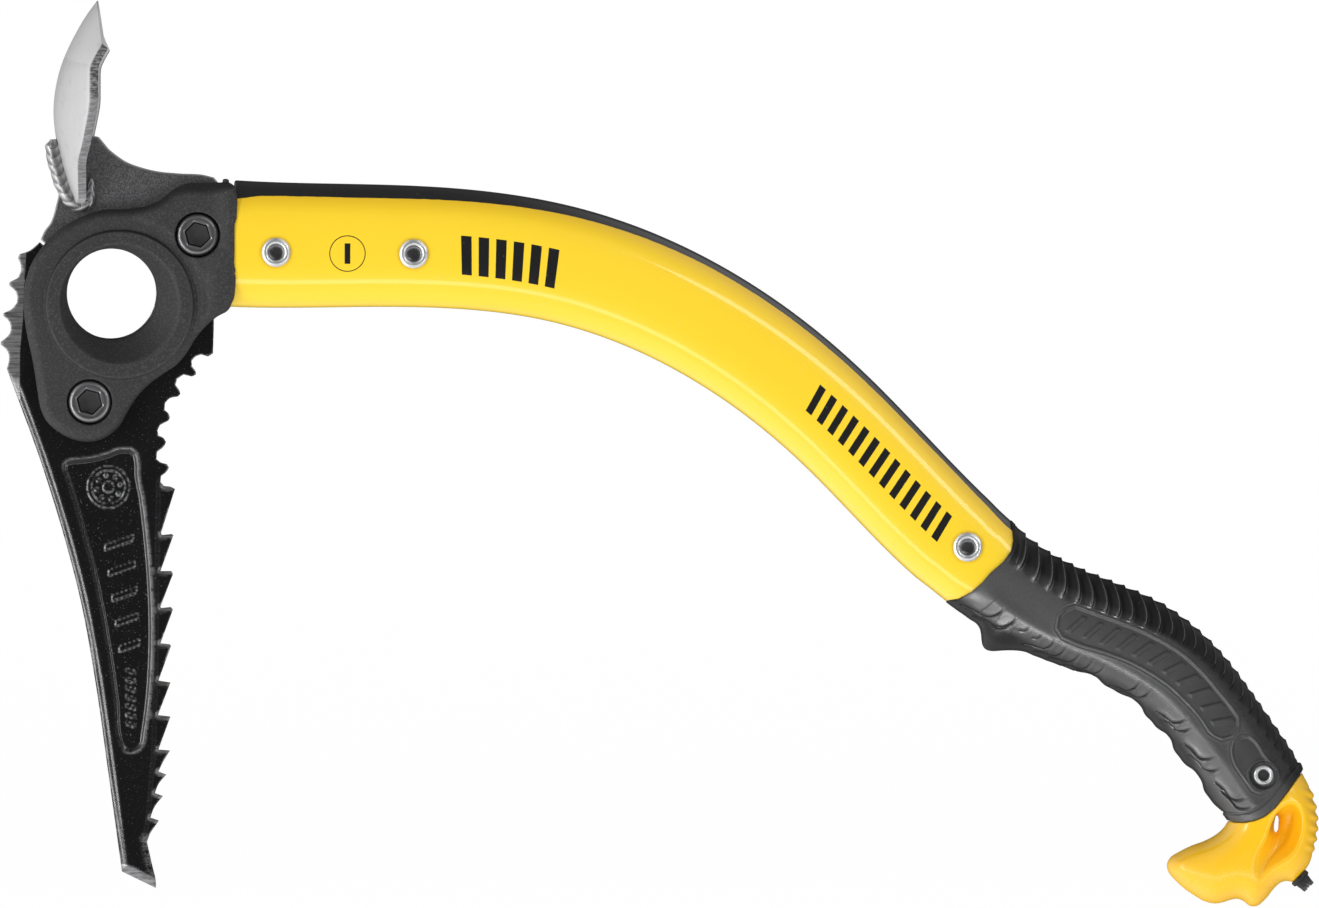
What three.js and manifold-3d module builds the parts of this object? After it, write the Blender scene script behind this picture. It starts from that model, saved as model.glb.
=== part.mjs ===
// Ice axe: forged head with clamped pick and adze, curved tube shaft,
// rubber grip, moulded pommel with a spike. Millimetres, +Z up.
// X runs from the head towards the grip, Z up towards the adze, Y through the
// thickness; "near" is the -Y side and "far" the +Y side. Points are [x, z],
// drawn roughly about the hole in the head. The whole tool is then moved so that
// ORIGIN, the middle of its lowest plane, comes to 0, 0, 0.
import * as THREE from 'three';
import { mergeVertices } from 'three/addons/utils/BufferGeometryUtils.js';
import Module from 'manifold-3d';

const wasm = await Module();
wasm.setup();

// --------------------------------------------------------- shared dimensions
const ORIGIN = { x: 191.2, z: -213.4 };
const GAP = 0.3;             // clearance between neighbouring pieces
const THROUGH = 20;          // half length of cutters that pass right through
const TUBE_WALL = 1.3;
const INSERT_GROW = -TUBE_WALL - GAP;   // shaft section to a loose fit in the bore
const PLATE_HALF_T = 2;      // half thickness of the pick and adze plate
const SLOT_HALF_T = PLATE_HALF_T + GAP;
const CHEEK_Y = 9;           // outer face of each head cheek
const HOLE_CENTRE = [-0.35, 1.05];      // hole through head and pick
const HOLE_R = 15.7;

const BOLT_UPPER = [29.75, 21.7];
const BOLT_LOWER = [-8.05, -36.75];
const BOLT_R = 3.9;          // M8 shank
const BOLT_HOLE_R = BOLT_R + GAP;
const BOLT_HEAD_R = 7.4;     // bolt head and nut flange
const BOLT_SEAT_Y = 5.4;     // floor of the counterbores in the head
const NUT_BORE_R = 5.4;      // hole in the head for the nut sleeve

const RIVET_BODY_R = 3.2;
// seatY: half width of the surface under the flange
const HEAD_RIVETS = [
  { name: 'head_rivet_upper', centre: [57.22, 15.57], seatY: 11, flangeR: 5.1 },
  { name: 'head_rivet_lower', centre: [105.35, 15.05], seatY: 11, flangeR: 5.1 },
];
const PLUG_RIVET = { name: 'plug_rivet', centre: [299.07, -87.5], seatY: 11, flangeR: 5.1 };
const POMMEL_RIVET = { name: 'pommel_rivet', centre: [402.5, -167.3], seatY: 9.8, flangeR: 4.5 };
const RIVETS = [...HEAD_RIVETS, PLUG_RIVET, POMMEL_RIVET];

// shaft stations: centre x, z, half depth above, half depth below, half width
const SHAFT = [
  [41.6, 18.7, 22.1, 22.1, 11], [56.4, 18.2, 22, 22, 11], [71, 18.1, 21.8, 21.8, 11],
  [85.7, 18, 21.5, 21.5, 11], [100.4, 17.8, 21.3, 21.3, 11], [115, 17.3, 21.1, 21.1, 11],
  [129.6, 16.1, 20.9, 20.9, 11], [144.1, 14.2, 20.7, 20.7, 11], [158.3, 11.2, 20.5, 20.5, 11],
  [172.3, 7.1, 20.3, 20.3, 11], [185.9, 1.9, 20.1, 20.1, 11], [199.2, -4.3, 19.9, 19.9, 11],
  [211.9, -11.5, 19.7, 19.7, 11], [224.2, -19.5, 19.5, 19.5, 11], [235.9, -28.3, 19.3, 19.3, 11],
  [247.1, -37.8, 19.1, 19.1, 11], [257.7, -47.9, 19, 19, 11], [267.9, -58.4, 18.9, 18.9, 11],
  [277.9, -68.9, 18.9, 18.9, 11], [288.2, -79.3, 18.8, 18.6, 11], [299, -89, 18.4, 17.4, 11],
  [310.6, -97.9, 17.6, 15.9, 11], [323, -105.7, 16, 14.6, 10.6], [336.1, -112.2, 14.8, 14, 10.2],
  [349.6, -118.2, 14.2, 13.9, 10], [362.4, -125.1, 14.1, 14.1, 9.8],
  [373.8, -133.9, 13.7, 13.7, 9.8], [383.4, -144.8, 13.3, 13.3, 9.8],
  [391.7, -157.1, 13, 13, 9.8], [399.5, -169.6, 12.9, 12.9, 9.8], [401.6, -173, 12.9, 12.9, 9.8],
];

// ----------------------------------------------------------- outline helpers
const toVectors = (points) => points.map(([x, y]) => new THREE.Vector2(x, y));

const rectangle = (x0, z0, x1, z1) => [[x0, z0], [x1, z0], [x1, z1], [x0, z1]];

// unit vector between two points
const direction = (from, to) => {
  const dx = to[0] - from[0];
  const dz = to[1] - from[1];
  const length = Math.hypot(dx, dz);
  return [dx / length, dz / length];
};

// move an outline inwards along its corner normals
const inset = (outline, distance) => {
  const count = outline.length;
  const shift = Math.sign(THREE.ShapeUtils.area(toVectors(outline))) * distance;
  return outline.map(([x, z], i) => {
    const previous = outline[(i + count - 1) % count];
    const next = outline[(i + 1) % count];
    const [tangentX, tangentZ] = direction(previous, next);
    return [x - shift * tangentZ, z + shift * tangentX];
  });
};

// ------------------------------------------------------------- solid helpers
// geometry to manifold: weld vertices, drop slivers, turn faces outwards
const solid = (geometry) => {
  const bare = new THREE.BufferGeometry();
  bare.setAttribute('position', geometry.getAttribute('position'));
  if (geometry.index) bare.setIndex(geometry.index);
  const welded = mergeVertices(bare, 1e-4);
  const vertProperties = new Float32Array(welded.getAttribute('position').array);
  const corner = (i) => new THREE.Vector3().fromArray(vertProperties, 3 * i);
  const index = welded.index.array;
  const kept = [];
  let volume = 0;
  for (let i = 0; i < index.length; i += 3) {
    const [a, b, c] = [index[i], index[i + 1], index[i + 2]];
    if (a === b || b === c || a === c) continue;
    kept.push(a, b, c);
    volume += corner(a).dot(corner(b).cross(corner(c)));
  }
  if (volume < 0) {
    for (let i = 0; i < kept.length; i += 3) [kept[i], kept[i + 1]] = [kept[i + 1], kept[i]];
  }
  const triVerts = new Uint32Array(kept);
  return new wasm.Manifold(new wasm.Mesh({ numProp: 3, vertProperties, triVerts }));
};

const indexedSolid = (positions, index) => {
  const geometry = new THREE.BufferGeometry();
  geometry.setAttribute('position', new THREE.Float32BufferAttribute(positions, 3));
  geometry.setIndex(index);
  return solid(geometry);
};

// flat plate with an X-Z outline, from y0 to y1
const plate = (outline, y0, y1) => {
  const shape = new THREE.Shape(toVectors(outline));
  const options = { depth: y1 - y0, bevelEnabled: false, steps: 1 };
  const geometry = new THREE.ExtrudeGeometry(shape, options);
  geometry.rotateX(Math.PI / 2);
  geometry.translate(0, y1, 0);
  return solid(geometry);
};

const midPlate = (outline, halfThickness) => plate(outline, -halfThickness, halfThickness);

// cone along Y between two circles that need not share a centre
const frustum = ([x0, z0], r0, y0, [x1, z1], r1, y1, segments) => {
  const geometry = new THREE.CylinderGeometry(r1, r0, y1 - y0, segments, 1);
  geometry.translate(0, (y0 + y1) / 2, 0);
  const position = geometry.getAttribute('position');
  for (let i = 0; i < position.count; i++) {
    const t = (position.getY(i) - y0) / (y1 - y0);
    position.setX(i, position.getX(i) + x0 + t * (x1 - x0));
    position.setZ(i, position.getZ(i) + z0 + t * (z1 - z0));
  }
  return solid(geometry);
};

// cylinder along Y, or a cone if the radius r1 at y1 is given
const cylinder = (centre, r0, y0, y1, segments, r1 = r0) =>
  frustum(centre, r0, y0, centre, r1, y1, segments);

const drill = (body, centre, radius, segments) =>
  body.subtract(cylinder(centre, radius, -THROUGH, THROUGH, segments));

const drillForRivets = (body, rivets) =>
  rivets.reduce((rest, { centre }) => drill(rest, centre, RIVET_BODY_R + GAP, 18), body);

const largestPart = (body) => body.decompose().sort((a, b) => b.volume() - a.volume())[0];

// -------------------------------------------------------------- loft helpers
const OVAL_POWER = 0.86;     // below 1 squares up the section
const OVAL_STRETCH = 1.08;   // above 1 widens it, to be clipped to flat sides

// section points [distance up, y]
const oval = (up, down, halfWidth, count) => {
  const squared = (value) => Math.sign(value) * Math.abs(value) ** OVAL_POWER;
  const points = [];
  for (let k = 0; k < count; k++) {
    const angle = (2 * Math.PI * (k + 0.5)) / count;
    const across = OVAL_STRETCH * squared(Math.cos(angle));
    const rise = Math.sin(angle);
    const y = Math.max(-1, Math.min(1, across));
    points.push([(rise > 0 ? up : down) * squared(rise), -halfWidth * y]);
  }
  return points;
};

// solid through stations like those of SHAFT, its sections made larger by grow
const loft = (stations, grow = 0, count = 24) => {
  const last = stations.length - 1;
  const positions = [];
  const index = [];
  stations.forEach(([x, z, up, down, halfWidth], i) => {
    const previous = stations[Math.max(0, i - 1)];
    const next = stations[Math.min(last, i + 1)];
    const [tangentX, tangentZ] = direction(previous, next);
    for (const [rise, y] of oval(up + grow, down + grow, halfWidth + grow, count)) {
      positions.push(x - tangentZ * rise, y, z + tangentX * rise);
    }
  });
  for (let i = 0; i < last; i++) {
    for (let k = 0; k < count; k++) {
      const a = i * count + k;
      const b = i * count + ((k + 1) % count);
      index.push(a, b, a + count, b, b + count, a + count);
    }
  }
  const startCentre = positions.length / 3;
  positions.push(stations[0][0], 0, stations[0][1]);
  positions.push(stations[last][0], 0, stations[last][1]);
  for (let k = 0; k < count; k++) {
    const next = (k + 1) % count;
    index.push(startCentre, next, k);
    index.push(startCentre + 1, last * count + k, last * count + next);
  }
  return indexedSolid(positions, index);
};

// stations with each end pushed out along the centre line
const stretched = (stations, startBy, endBy) => {
  const result = stations.map((station) => [...station]);
  const push = (end, neighbour, distance) => {
    const [dx, dz] = direction(neighbour, end);
    end[0] += dx * distance;
    end[1] += dz * distance;
  };
  push(result[0], result[1], startBy);
  push(result.at(-1), result.at(-2), endBy);
  return result;
};

// shaft stations from x0 to x1, leaving out those within 2 of either end
const shaftBetween = (x0, x1) => {
  const stationAt = (x) => {
    let i = 0;
    while (i + 2 < SHAFT.length && SHAFT[i + 1][0] < x) i++;
    const [before, after] = [SHAFT[i], SHAFT[i + 1]];
    const t = (x - before[0]) / (after[0] - before[0]);
    return before.map((value, k) => value + t * (after[k] - value));
  };
  const inside = SHAFT.filter(([x]) => x > x0 + 2 && x < x1 - 2);
  return [stationAt(x0), ...inside, stationAt(x1)];
};

// --------------------------------------------------------------------- shaft
const buildTube = () => {
  const bore = loft(stretched(SHAFT, 3, 3), -TUBE_WALL);
  return drillForRivets(loft(SHAFT).subtract(bore), RIVETS);
};

// block inside the tube, under the upper end of the grip
const buildPlug = () => drillForRivets(loft(shaftBetween(288.2, 310.6), INSERT_GROW), [PLUG_RIVET]);

// ----------------------------------------------------------------- head body
const RING_CENTRE = [2.45, -2.8];   // raised ring round the hole
const RING_R = 26.1;
const RING_CREST_R = RING_R - 0.9;
const RING_Y = 10.9;
const FUNNEL_R = 21;         // mouth of the funnel that leads into the hole
const FUNNEL_Y = 5.2;        // where the funnel meets the straight bore
const COLLAR_Y = 12.7;       // collar that laps over the shaft end

const CHEEK = [
  [43, 38.5], [41.3, 39.8], [38.1, 40], [31.6, 39.9], [25.6, 39.5], [23.1, 38.7],
  [20.6, 37.2], [18.9, 35.5], [16.6, 33.8], [13.5, 32.3], [8.4, 31.1], [1.9, 30.7],
  [-3.3, 30.4], [-7.8, 29.2], [-12.3, 27.3], [-17.5, 24.4], [-22.1, 20.5], [-25.6, 16.3],
  [-28.2, 12.1], [-29.9, 7.6], [-30.9, 3], [-31.1, -2.1], [-30.9, -7.3], [-29.9, -13.8],
  [-28.4, -20.3], [-27.3, -26.7], [-26.3, -33.2], [-25, -39.7], [-23, -43.6], [-19.5, -46.8],
  [-14.9, -49.4], [-10.4, -50.6], [-5.9, -50.4], [-1.4, -48.4], [2.5, -44.9], [5.1, -40.4],
  [8.4, -35.2], [12.2, -31], [17.4, -27.1], [22.6, -23.5], [25.8, -19.6], [29.1, -14.5],
  [32.3, -10.6], [36.2, -7], [40.4, -4.4], [41.4, -2.8], [42.4, -0.9], [43, 3],
  [43.5, 8.2], [44, 15.3], [44.1, 23.1], [44.1, 29.6], [43.6, 34.8],
];
const COLLAR = [
  [37.8, 40], [41.3, 39.8], [43, 38.5], [43.6, 34.8], [44.1, 29.6], [44.1, 15.3],
  [43.5, 8.2], [43, 3], [42.4, -0.9], [41.4, -2.8], [40.4, -4.4], [36.2, -7],
  [33, -9.8], [32.5, -3], [33.6, 3], [34.2, 9], [37.8, 15],
];
// web that joins the cheeks on the shaft side of the plate slot
const WEB = [
  [38, 40.5], [38.4, 41.6], [40.4, 41.4], [41.3, 40.2], [41.3, -3.6], [40.3, -4.2], [38, -5.5],
];
// limits of the tang above and below
const TANG_BAND = [[40, 4], [118, 2], [118, 30], [40, 32]];

// tang inside the shaft, forked into two side tongues from x = 49
const buildTang = () =>
  loft(stretched(shaftBetween(44, 116), 4, 0), INSERT_GROW)
    .intersect(midPlate(TANG_BAND, CHEEK_Y))
    .subtract(midPlate(rectangle(49, -20, 120, 60), 6));

const buildHead = () => {
  const shaftEnd = loft(stretched(SHAFT.slice(0, 4), GAP, 0), GAP);
  const funnelY = RING_Y + 0.05;
  const throatR = HOLE_R + 0.2;
  let head = midPlate(CHEEK, CHEEK_Y)
    .add(cylinder(RING_CENTRE, RING_R, CHEEK_Y - 1, RING_Y, 48, RING_CREST_R))
    .add(cylinder(RING_CENTRE, RING_CREST_R, -RING_Y, -CHEEK_Y + 1, 48, RING_R))
    .add(midPlate(COLLAR, COLLAR_Y))
    .subtract(midPlate(rectangle(-60, -60, 37.9, 60), SLOT_HALF_T))
    .add(midPlate(WEB, CHEEK_Y))
    .subtract(shaftEnd)
    .add(buildTang());
  head = drill(head, HOLE_CENTRE, HOLE_R, 48)
    .subtract(frustum(HOLE_CENTRE, throatR, FUNNEL_Y, RING_CENTRE, FUNNEL_R, funnelY, 48))
    .subtract(frustum(RING_CENTRE, FUNNEL_R, -funnelY, HOLE_CENTRE, throatR, -FUNNEL_Y, 48));
  for (const centre of [BOLT_UPPER, BOLT_LOWER]) {
    head = head
      .subtract(cylinder(centre, BOLT_HOLE_R, -THROUGH, 0, 24))
      .subtract(cylinder(centre, NUT_BORE_R, 0, THROUGH, 24))
      .subtract(cylinder(centre, BOLT_HEAD_R + 0.5, BOLT_SEAT_Y, THROUGH, 32))
      .subtract(cylinder(centre, BOLT_HEAD_R + 0.5, -THROUGH, -BOLT_SEAT_Y, 32));
  }
  return drillForRivets(head, HEAD_RIVETS);
};

// ------------------------------------------------------- pick and adze plate
// half-thickness ear of the pick that laps the adze plate at the upper bolt
const EAR = rectangle(25.5, 8.9, 34.8, BOLT_UPPER[1]);
const EAR_R = 7.8;
const EAR_Y = GAP / 2;       // the lap joint is centred on y = 0
const POCKET_DEPTH = 0.6;    // shallow pocket in each face of the pick

const PICK = [
  [-29.4, 16.1], [-32.5, 15.1], [-33.2, 13.7], [-32.2, 11.2], [-32.2, 9.1], [-33.2, 6.7],
  [-36, 5.2], [-36.4, 4.2], [-34, 1.8], [-33.4, -0.3], [-33.6, -2.1], [-35.4, -4.2],
  [-38.1, -5.6], [-38.5, -6.5], [-36.4, -8.4], [-35.7, -10.8], [-36, -12.6], [-37.5, -14.3],
  [-39.4, -15.8], [-39.4, -16.6], [-37.5, -18.2], [-36.4, -20.3], [-36.4, -22.4], [-37.1, -25.2],
  [-24.1, -60.9], [-16.4, -86.1], [-11.2, -106.8], [-6, -135.8], [-1.8, -165.6], [2.5, -199.5],
  [3.1, -201.1], [15.1, -206.8], [15.1, -205.4], [13.5, -197.8], [11.9, -190.8], [12.9, -187.9],
  [14.5, -185.5], [16.1, -183.2], [13.1, -182.2], [14.3, -178.8], [17.5, -174.7], [14.7, -173.6],
  [15.8, -170.8], [18.7, -167.1], [15.9, -166.1], [17.1, -163.4], [19.9, -158.7], [15.9, -158.4],
  [20.1, -146.8], [15.8, -146.3], [20.1, -134.9], [15.9, -134.2], [20.3, -122.2], [19.9, -121.5],
  [16.6, -121.2], [21, -109.4], [20.3, -108.5], [16.8, -108.8], [16.6, -108.3], [21, -97],
  [20.5, -95.9], [16.6, -95.9], [21.2, -83.3], [20.5, -83], [17.1, -83.3], [16.8, -82.6],
  [21.7, -67.2], [20.5, -66.5], [17.9, -66.2], [16.6, -64.8], [16.8, -62.6], [19.1, -60.7],
  [19.6, -59.7], [18.9, -58.5], [16.4, -57.8], [15.2, -56.7], [15.4, -54.2], [18, -52],
  [18.6, -50.8], [17.7, -49.4], [15.9, -48.5], [15.6, -46.7], [16.4, -44.8], [19.4, -43.2],
  [19.9, -42.2], [19.4, -40.8], [18, -39.5], [18.2, -37.1], [19.8, -35.5], [22.8, -34.8],
  [23.6, -34], [23.3, -32.7], [21.9, -30.8], [22.4, -28.7], [24.7, -27.1], [27.6, -27.8],
  [29.1, -27.1], [28.9, -25.9], [27.6, -24.3], [27.5, -22.4], [28.7, -21], [30.8, -20.1],
  [33.2, -20.8], [35, -19.8], [35.4, -8.1], [35.4, 9.4], [29.8, 9.4], [25.2, 9.8],
  [20.2, 11.5], [17.3, 13.4], [10.5, 19.6], [-0.3, 22.5], [-11.2, 19.6], [-18.5, 13.1],
  [-25.6, 19.2],
];
const POCKET = [
  [-17.1, -56.9], [-13.3, -56.7], [-8.2, -56.2], [-1.9, -54.6], [2.2, -53], [6.3, -53],
  [8.4, -54.6], [9.1, -58.1], [9.2, -62.6], [10.5, -69.3], [11.4, -76], [11.4, -153.3],
  [10.8, -156.4], [9.1, -158.6], [6.3, -159.6], [3.9, -159.1], [2.8, -157.2], [0.7, -141.1],
  [-1.8, -123.5], [-4.2, -109.5], [-7, -96.2], [-10.2, -84.3], [-13.7, -71.8], [-16.8, -62],
  [-17.9, -58.8],
];
// adze plate: upper edge from the blade side to the shaft side, then the rest
const PLATE_UPPER = [
  [-25.3, 20.1], [-23.8, 23.3], [-22.1, 25.6], [-20.6, 29.1], [-19.9, 31.9], [-19.1, 35.4],
  [-18.6, 38.5], [-18.9, 41.6], [-20.1, 45.1], [-20.8, 48.6], [-20.8, 52.9], [-19.6, 55.3],
  [-13.3, 56.2], [-7.3, 56.5], [-4.9, 56], [-3.1, 53.9], [-1.4, 51.8], [0.7, 50],
  [4.9, 47.2], [9.4, 45.5], [15.1, 44.1], [23.4, 43.2], [31.9, 42.7], [35.4, 41.8],
  [37.1, 39.5], [37.8, 37.5],
];
const PLATE = [
  ...PLATE_UPPER, [37.8, 12.2], [36, 10.2], [29.8, 10.2], [25.3, 10.5], [20.5, 12.3],
  [17.8, 14.2], [10.9, 20.4], [-0.3, 23.3], [-11.6, 20.4], [-18.2, 14],
];

const buildPick = () => {
  let pick = midPlate(PICK, PLATE_HALF_T)
    .add(plate(EAR, EAR_Y, PLATE_HALF_T))
    .add(cylinder(BOLT_UPPER, EAR_R, EAR_Y, PLATE_HALF_T, 40));
  pick = drill(pick, HOLE_CENTRE, HOLE_R + 0.7, 48);
  for (const centre of [BOLT_LOWER, BOLT_UPPER]) pick = drill(pick, centre, BOLT_HOLE_R, 32);
  const pocketFloorY = PLATE_HALF_T - POCKET_DEPTH;
  return pick
    .subtract(plate(POCKET, -THROUGH, -pocketFloorY))
    .subtract(plate(POCKET, pocketFloorY, THROUGH));
};

const buildAdzePlate = () => {
  const lapped = midPlate(PLATE, PLATE_HALF_T)
    .subtract(plate(inset(EAR, -GAP), -EAR_Y, THROUGH))
    .subtract(cylinder(BOLT_UPPER, EAR_R + GAP, -EAR_Y, THROUGH, 40));
  return drill(lapped, BOLT_UPPER, BOLT_HOLE_R, 32);
};

// ---------------------------------------------------------------- adze blade
const BLADE_T = 2.9;
const BLADE_COLUMNS = 9;
const BLADE_ARC = 0.95;      // half angle of the curved cross-section, radians
const BLADE_TAPER = 0.04;    // how much narrower the inner face is at its sides

// blade rows from the plate out to the cutting edge:
// ridge x, z, side edge x, z, half width at the side edge
const BLADE_ROWS = [
  [-13.3, 31.9, -12.1, 34.3, 8], [-15.1, 36.8, -12.1, 38.1, 10],
  [-16.8, 42, -12.1, 42.4, 12.2], [-18.4, 48, -11.9, 47.6, 15.2],
  [-19.8, 54.6, -10.3, 53.9, 18.6], [-20.6, 61.2, -8.9, 60.5, 21.5],
  [-20.8, 67.2, -7.7, 67.5, 23.8], [-19.9, 73.8, -7.6, 73.8, 25],
  [-18.4, 80.2, -7.5, 79.8, 25.6], [-16.1, 86.1, -6.5, 82.6, 25.6],
  [-12.9, 92.4, -5.2, 84.9, 25.3], [-9.4, 98.3, -4.2, 86.6, 24.8],
  [-5.6, 103.7, -3.5, 88, 24.2],
];
// share of the thickness left in the last two rows
const THINNING = { [BLADE_ROWS.length - 2]: 0.75, [BLADE_ROWS.length - 1]: 0.28 };

// outer face pushed out to -X, inner face to +X, and the half width enlarged
const bladeShell = ({ outerBy, innerBy, widenBy }) => {
  const outer = [];
  const inner = [];
  BLADE_ROWS.forEach(([ridgeX, ridgeZ, edgeX, edgeZ, edgeHalfWidth], i) => {
    const halfWidth = edgeHalfWidth + widenBy;
    const thickness = innerBy * (THINNING[i] ?? 1);
    for (let k = 0; k < BLADE_COLUMNS; k++) {
      const across = -1 + (2 * k) / (BLADE_COLUMNS - 1);
      const angle = across * BLADE_ARC;
      const toEdge = (1 - Math.cos(angle)) / (1 - Math.cos(BLADE_ARC));
      const x = ridgeX + (edgeX - ridgeX) * toEdge;
      const y = (halfWidth * Math.sin(angle)) / Math.sin(BLADE_ARC);
      const z = ridgeZ + (edgeZ - ridgeZ) * toEdge;
      outer.push(x - outerBy, y, z);
      inner.push(x + thickness, y * (1 - BLADE_TAPER * Math.abs(across)), z);
    }
  });
  const cols = BLADE_COLUMNS;
  const lastRow = (BLADE_ROWS.length - 1) * cols;
  const under = BLADE_ROWS.length * cols;   // from an outer vertex to its inner one
  const index = [];
  const quad = (a, b, c, d) => index.push(a, b, c, a, c, d);
  for (let left = 0; left < lastRow; left += cols) {
    for (let a = left; a < left + cols - 1; a++) {
      quad(a, a + 1, a + cols + 1, a + cols);
      quad(under + a, under + a + cols, under + a + cols + 1, under + a + 1);
    }
    quad(left, left + cols, under + left + cols, under + left);
    const right = left + cols - 1;
    quad(right, under + right, under + right + cols, right + cols);
  }
  for (let k = 0; k + 1 < cols; k++) {
    quad(k, under + k, under + k + 1, k + 1);
    const tip = lastRow + k;
    quad(tip, tip + 1, under + tip + 1, under + tip);
  }
  return indexedSolid([...outer, ...inner], index);
};

const buildBlade = () => {
  const plateRoom = midPlate(PLATE_UPPER, SLOT_HALF_T)
    .add(midPlate(rectangle(-21, 30, -3, 56.6), SLOT_HALF_T));
  return bladeShell({ outerBy: 0, innerBy: BLADE_T, widenBy: 0 }).subtract(plateRoom);
};

// weld bead in the corner between blade and plate; side is -1 near, 1 far
const BEAD_R = 2.4;
const BEAD_SEGMENTS = 12;
const BEAD_PATH = [[-20.2, 52.6], [-18.6, 46.4], [-17, 40.8], [-15, 35.6], [-12.6, 31.6]];

const buildWeld = (side) => {
  const extrudePath = new THREE.CatmullRomCurve3(
    BEAD_PATH.map(([x, z], i) => new THREE.Vector3(x, side * (3.5 + 0.1 * i), z)),
  );
  const circle = Array.from({ length: BEAD_SEGMENTS }, (_, k) => {
    const angle = (2 * Math.PI * k) / BEAD_SEGMENTS;
    return new THREE.Vector2(BEAD_R * Math.cos(angle), BEAD_R * Math.sin(angle));
  });
  const options = { steps: 12, extrudePath, bevelEnabled: false };
  const bead = solid(new THREE.ExtrudeGeometry(new THREE.Shape(circle), options))
    .subtract(bladeShell({ outerBy: GAP, innerBy: BLADE_T + GAP, widenBy: 0.4 }))
    .subtract(midPlate(PLATE, SLOT_HALF_T))
    .subtract(midPlate(rectangle(-40, 20, 0, 60), SLOT_HALF_T));
  return largestPart(bead);
};

// ------------------------------------------------------------ bolts and nuts
const HEX_R = 8 / Math.sqrt(3);         // corner radius of the 8 mm hex socket
const BOLT_CHAMFER = 0.6;
const FLANGE_SEAT = BOLT_SEAT_Y + GAP;  // underside of bolt head and nut flange
const FLANGE_TOP = CHEEK_Y + 0.5;
const FLANGE_EDGE = FLANGE_TOP - BOLT_CHAMFER;
const FLANGE_TOP_R = BOLT_HEAD_R - BOLT_CHAMFER;

// head on the near side
const buildBolt = (centre) =>
  cylinder(centre, BOLT_HEAD_R, -FLANGE_EDGE, -FLANGE_SEAT, 32)
    .add(cylinder(centre, FLANGE_TOP_R, -FLANGE_TOP, -FLANGE_EDGE, 32, BOLT_HEAD_R))
    .add(cylinder(centre, BOLT_R, -FLANGE_SEAT - 0.5, 6.5, 24))
    .subtract(cylinder(centre, HEX_R, -FLANGE_TOP - 1, -FLANGE_TOP + 3.4, 6));

// flanged sleeve nut on the far side
const buildNut = (centre) =>
  cylinder(centre, BOLT_HEAD_R, FLANGE_SEAT, FLANGE_EDGE, 32)
    .add(cylinder(centre, BOLT_HEAD_R, FLANGE_EDGE, FLANGE_TOP, 32, FLANGE_TOP_R))
    .add(cylinder(centre, NUT_BORE_R - GAP, 2.6, FLANGE_SEAT + 0.5, 24))
    .subtract(cylinder(centre, BOLT_HOLE_R, 2, 6.8, 24))
    .subtract(cylinder(centre, HEX_R, FLANGE_TOP - 1.7, FLANGE_TOP + 1, 6));

// -------------------------------------------------------------- blind rivets
const RIVET_BORE_R = 2.3;
const RIVET_LENGTH = 6.4;    // body below the flange
const RIVET_BORE_DEPTH = 4.6;

// half section: radius, height above the underside of the flange
const rivetProfile = (flangeR) => [
  [0, -RIVET_LENGTH], [RIVET_BODY_R, -RIVET_LENGTH], [RIVET_BODY_R, 0],
  [flangeR, 0], [flangeR, 0.45], [flangeR - 0.5, 0.95], [flangeR - 1.3, 1.15],
  [RIVET_BORE_R + 0.35, 0.9], [RIVET_BORE_R, 0.5],
  [RIVET_BORE_R, -RIVET_BORE_DEPTH], [0, -RIVET_BORE_DEPTH],
];

const buildRivet = ({ centre: [x, z], seatY, flangeR }, side) => {
  const profile = rivetProfile(flangeR).map(([r, height]) => [r, seatY + GAP + height]);
  const geometry = new THREE.LatheGeometry(toVectors(profile), 18);
  if (side < 0) geometry.rotateX(Math.PI);
  geometry.translate(x, 0, z);
  return solid(geometry);
};

// ---------------------------------------------------------------------- grip
// outside of the sleeve, columns as in SHAFT
const GRIP = [
  [283, -74.2, 19.5, 19.1, 11.8], [288.2, -79.3, 19.4, 18.9, 11.8],
  [299, -89, 18.9, 18.4, 12.2], [310.6, -97.9, 18.1, 17.7, 12.8],
  [323, -105.7, 17.1, 17.1, 13.4], [336.1, -112.2, 17, 17, 13.8],
  [349.6, -118.2, 17.1, 17.1, 14], [362.4, -125.1, 17.2, 17.2, 14],
  [373.8, -133.9, 16.9, 16.9, 13.9], [383.4, -144.8, 16.4, 16.4, 13.6],
  [391.7, -157.1, 16.2, 16.2, 13.3], [399.5, -169.6, 16.1, 16.1, 13],
  [403.2, -175.3, 15.8, 15.8, 12.9],
];
// region cut off the upper end; the middle rows are the visible S-shaped edge
const GRIP_CUTAWAY = [
  [270, -50], [330, -50], [320, -72],
  [314.1, -77.3], [315.5, -80.8], [315.8, -84], [315, -87.9], [311.5, -92.5],
  [306.8, -96.6], [303.9, -100.1], [299.9, -103.6], [295.2, -106.2], [290.6, -106.4],
  [282, -112], [262, -100], [262, -60],
];
// finger lip below the S edge
const LIP = [
  [294, -107.1], [299.2, -112.7], [302.1, -113.8], [303.6, -116.5], [303.8, -121.1],
  [304.9, -123.2], [307.3, -124], [311.5, -123.7], [315.4, -123.5], [319.9, -124.2],
  [323.1, -125.3], [324.4, -120], [313.9, -113.8], [301.7, -105],
];
const LIP_HALF_T = 7.5;
const GRIP_RIVET_HOLE_R = 5.4;

const buildGrip = () => {
  const sleeve = loft(GRIP, 0, 32)
    .add(midPlate(LIP, LIP_HALF_T))
    .subtract(midPlate(GRIP_CUTAWAY, THROUGH))
    .subtract(loft(stretched(SHAFT, 0, 8), GAP));
  return largestPart(drill(sleeve, POMMEL_RIVET.centre, GRIP_RIVET_HOLE_R, 32));
};

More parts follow.
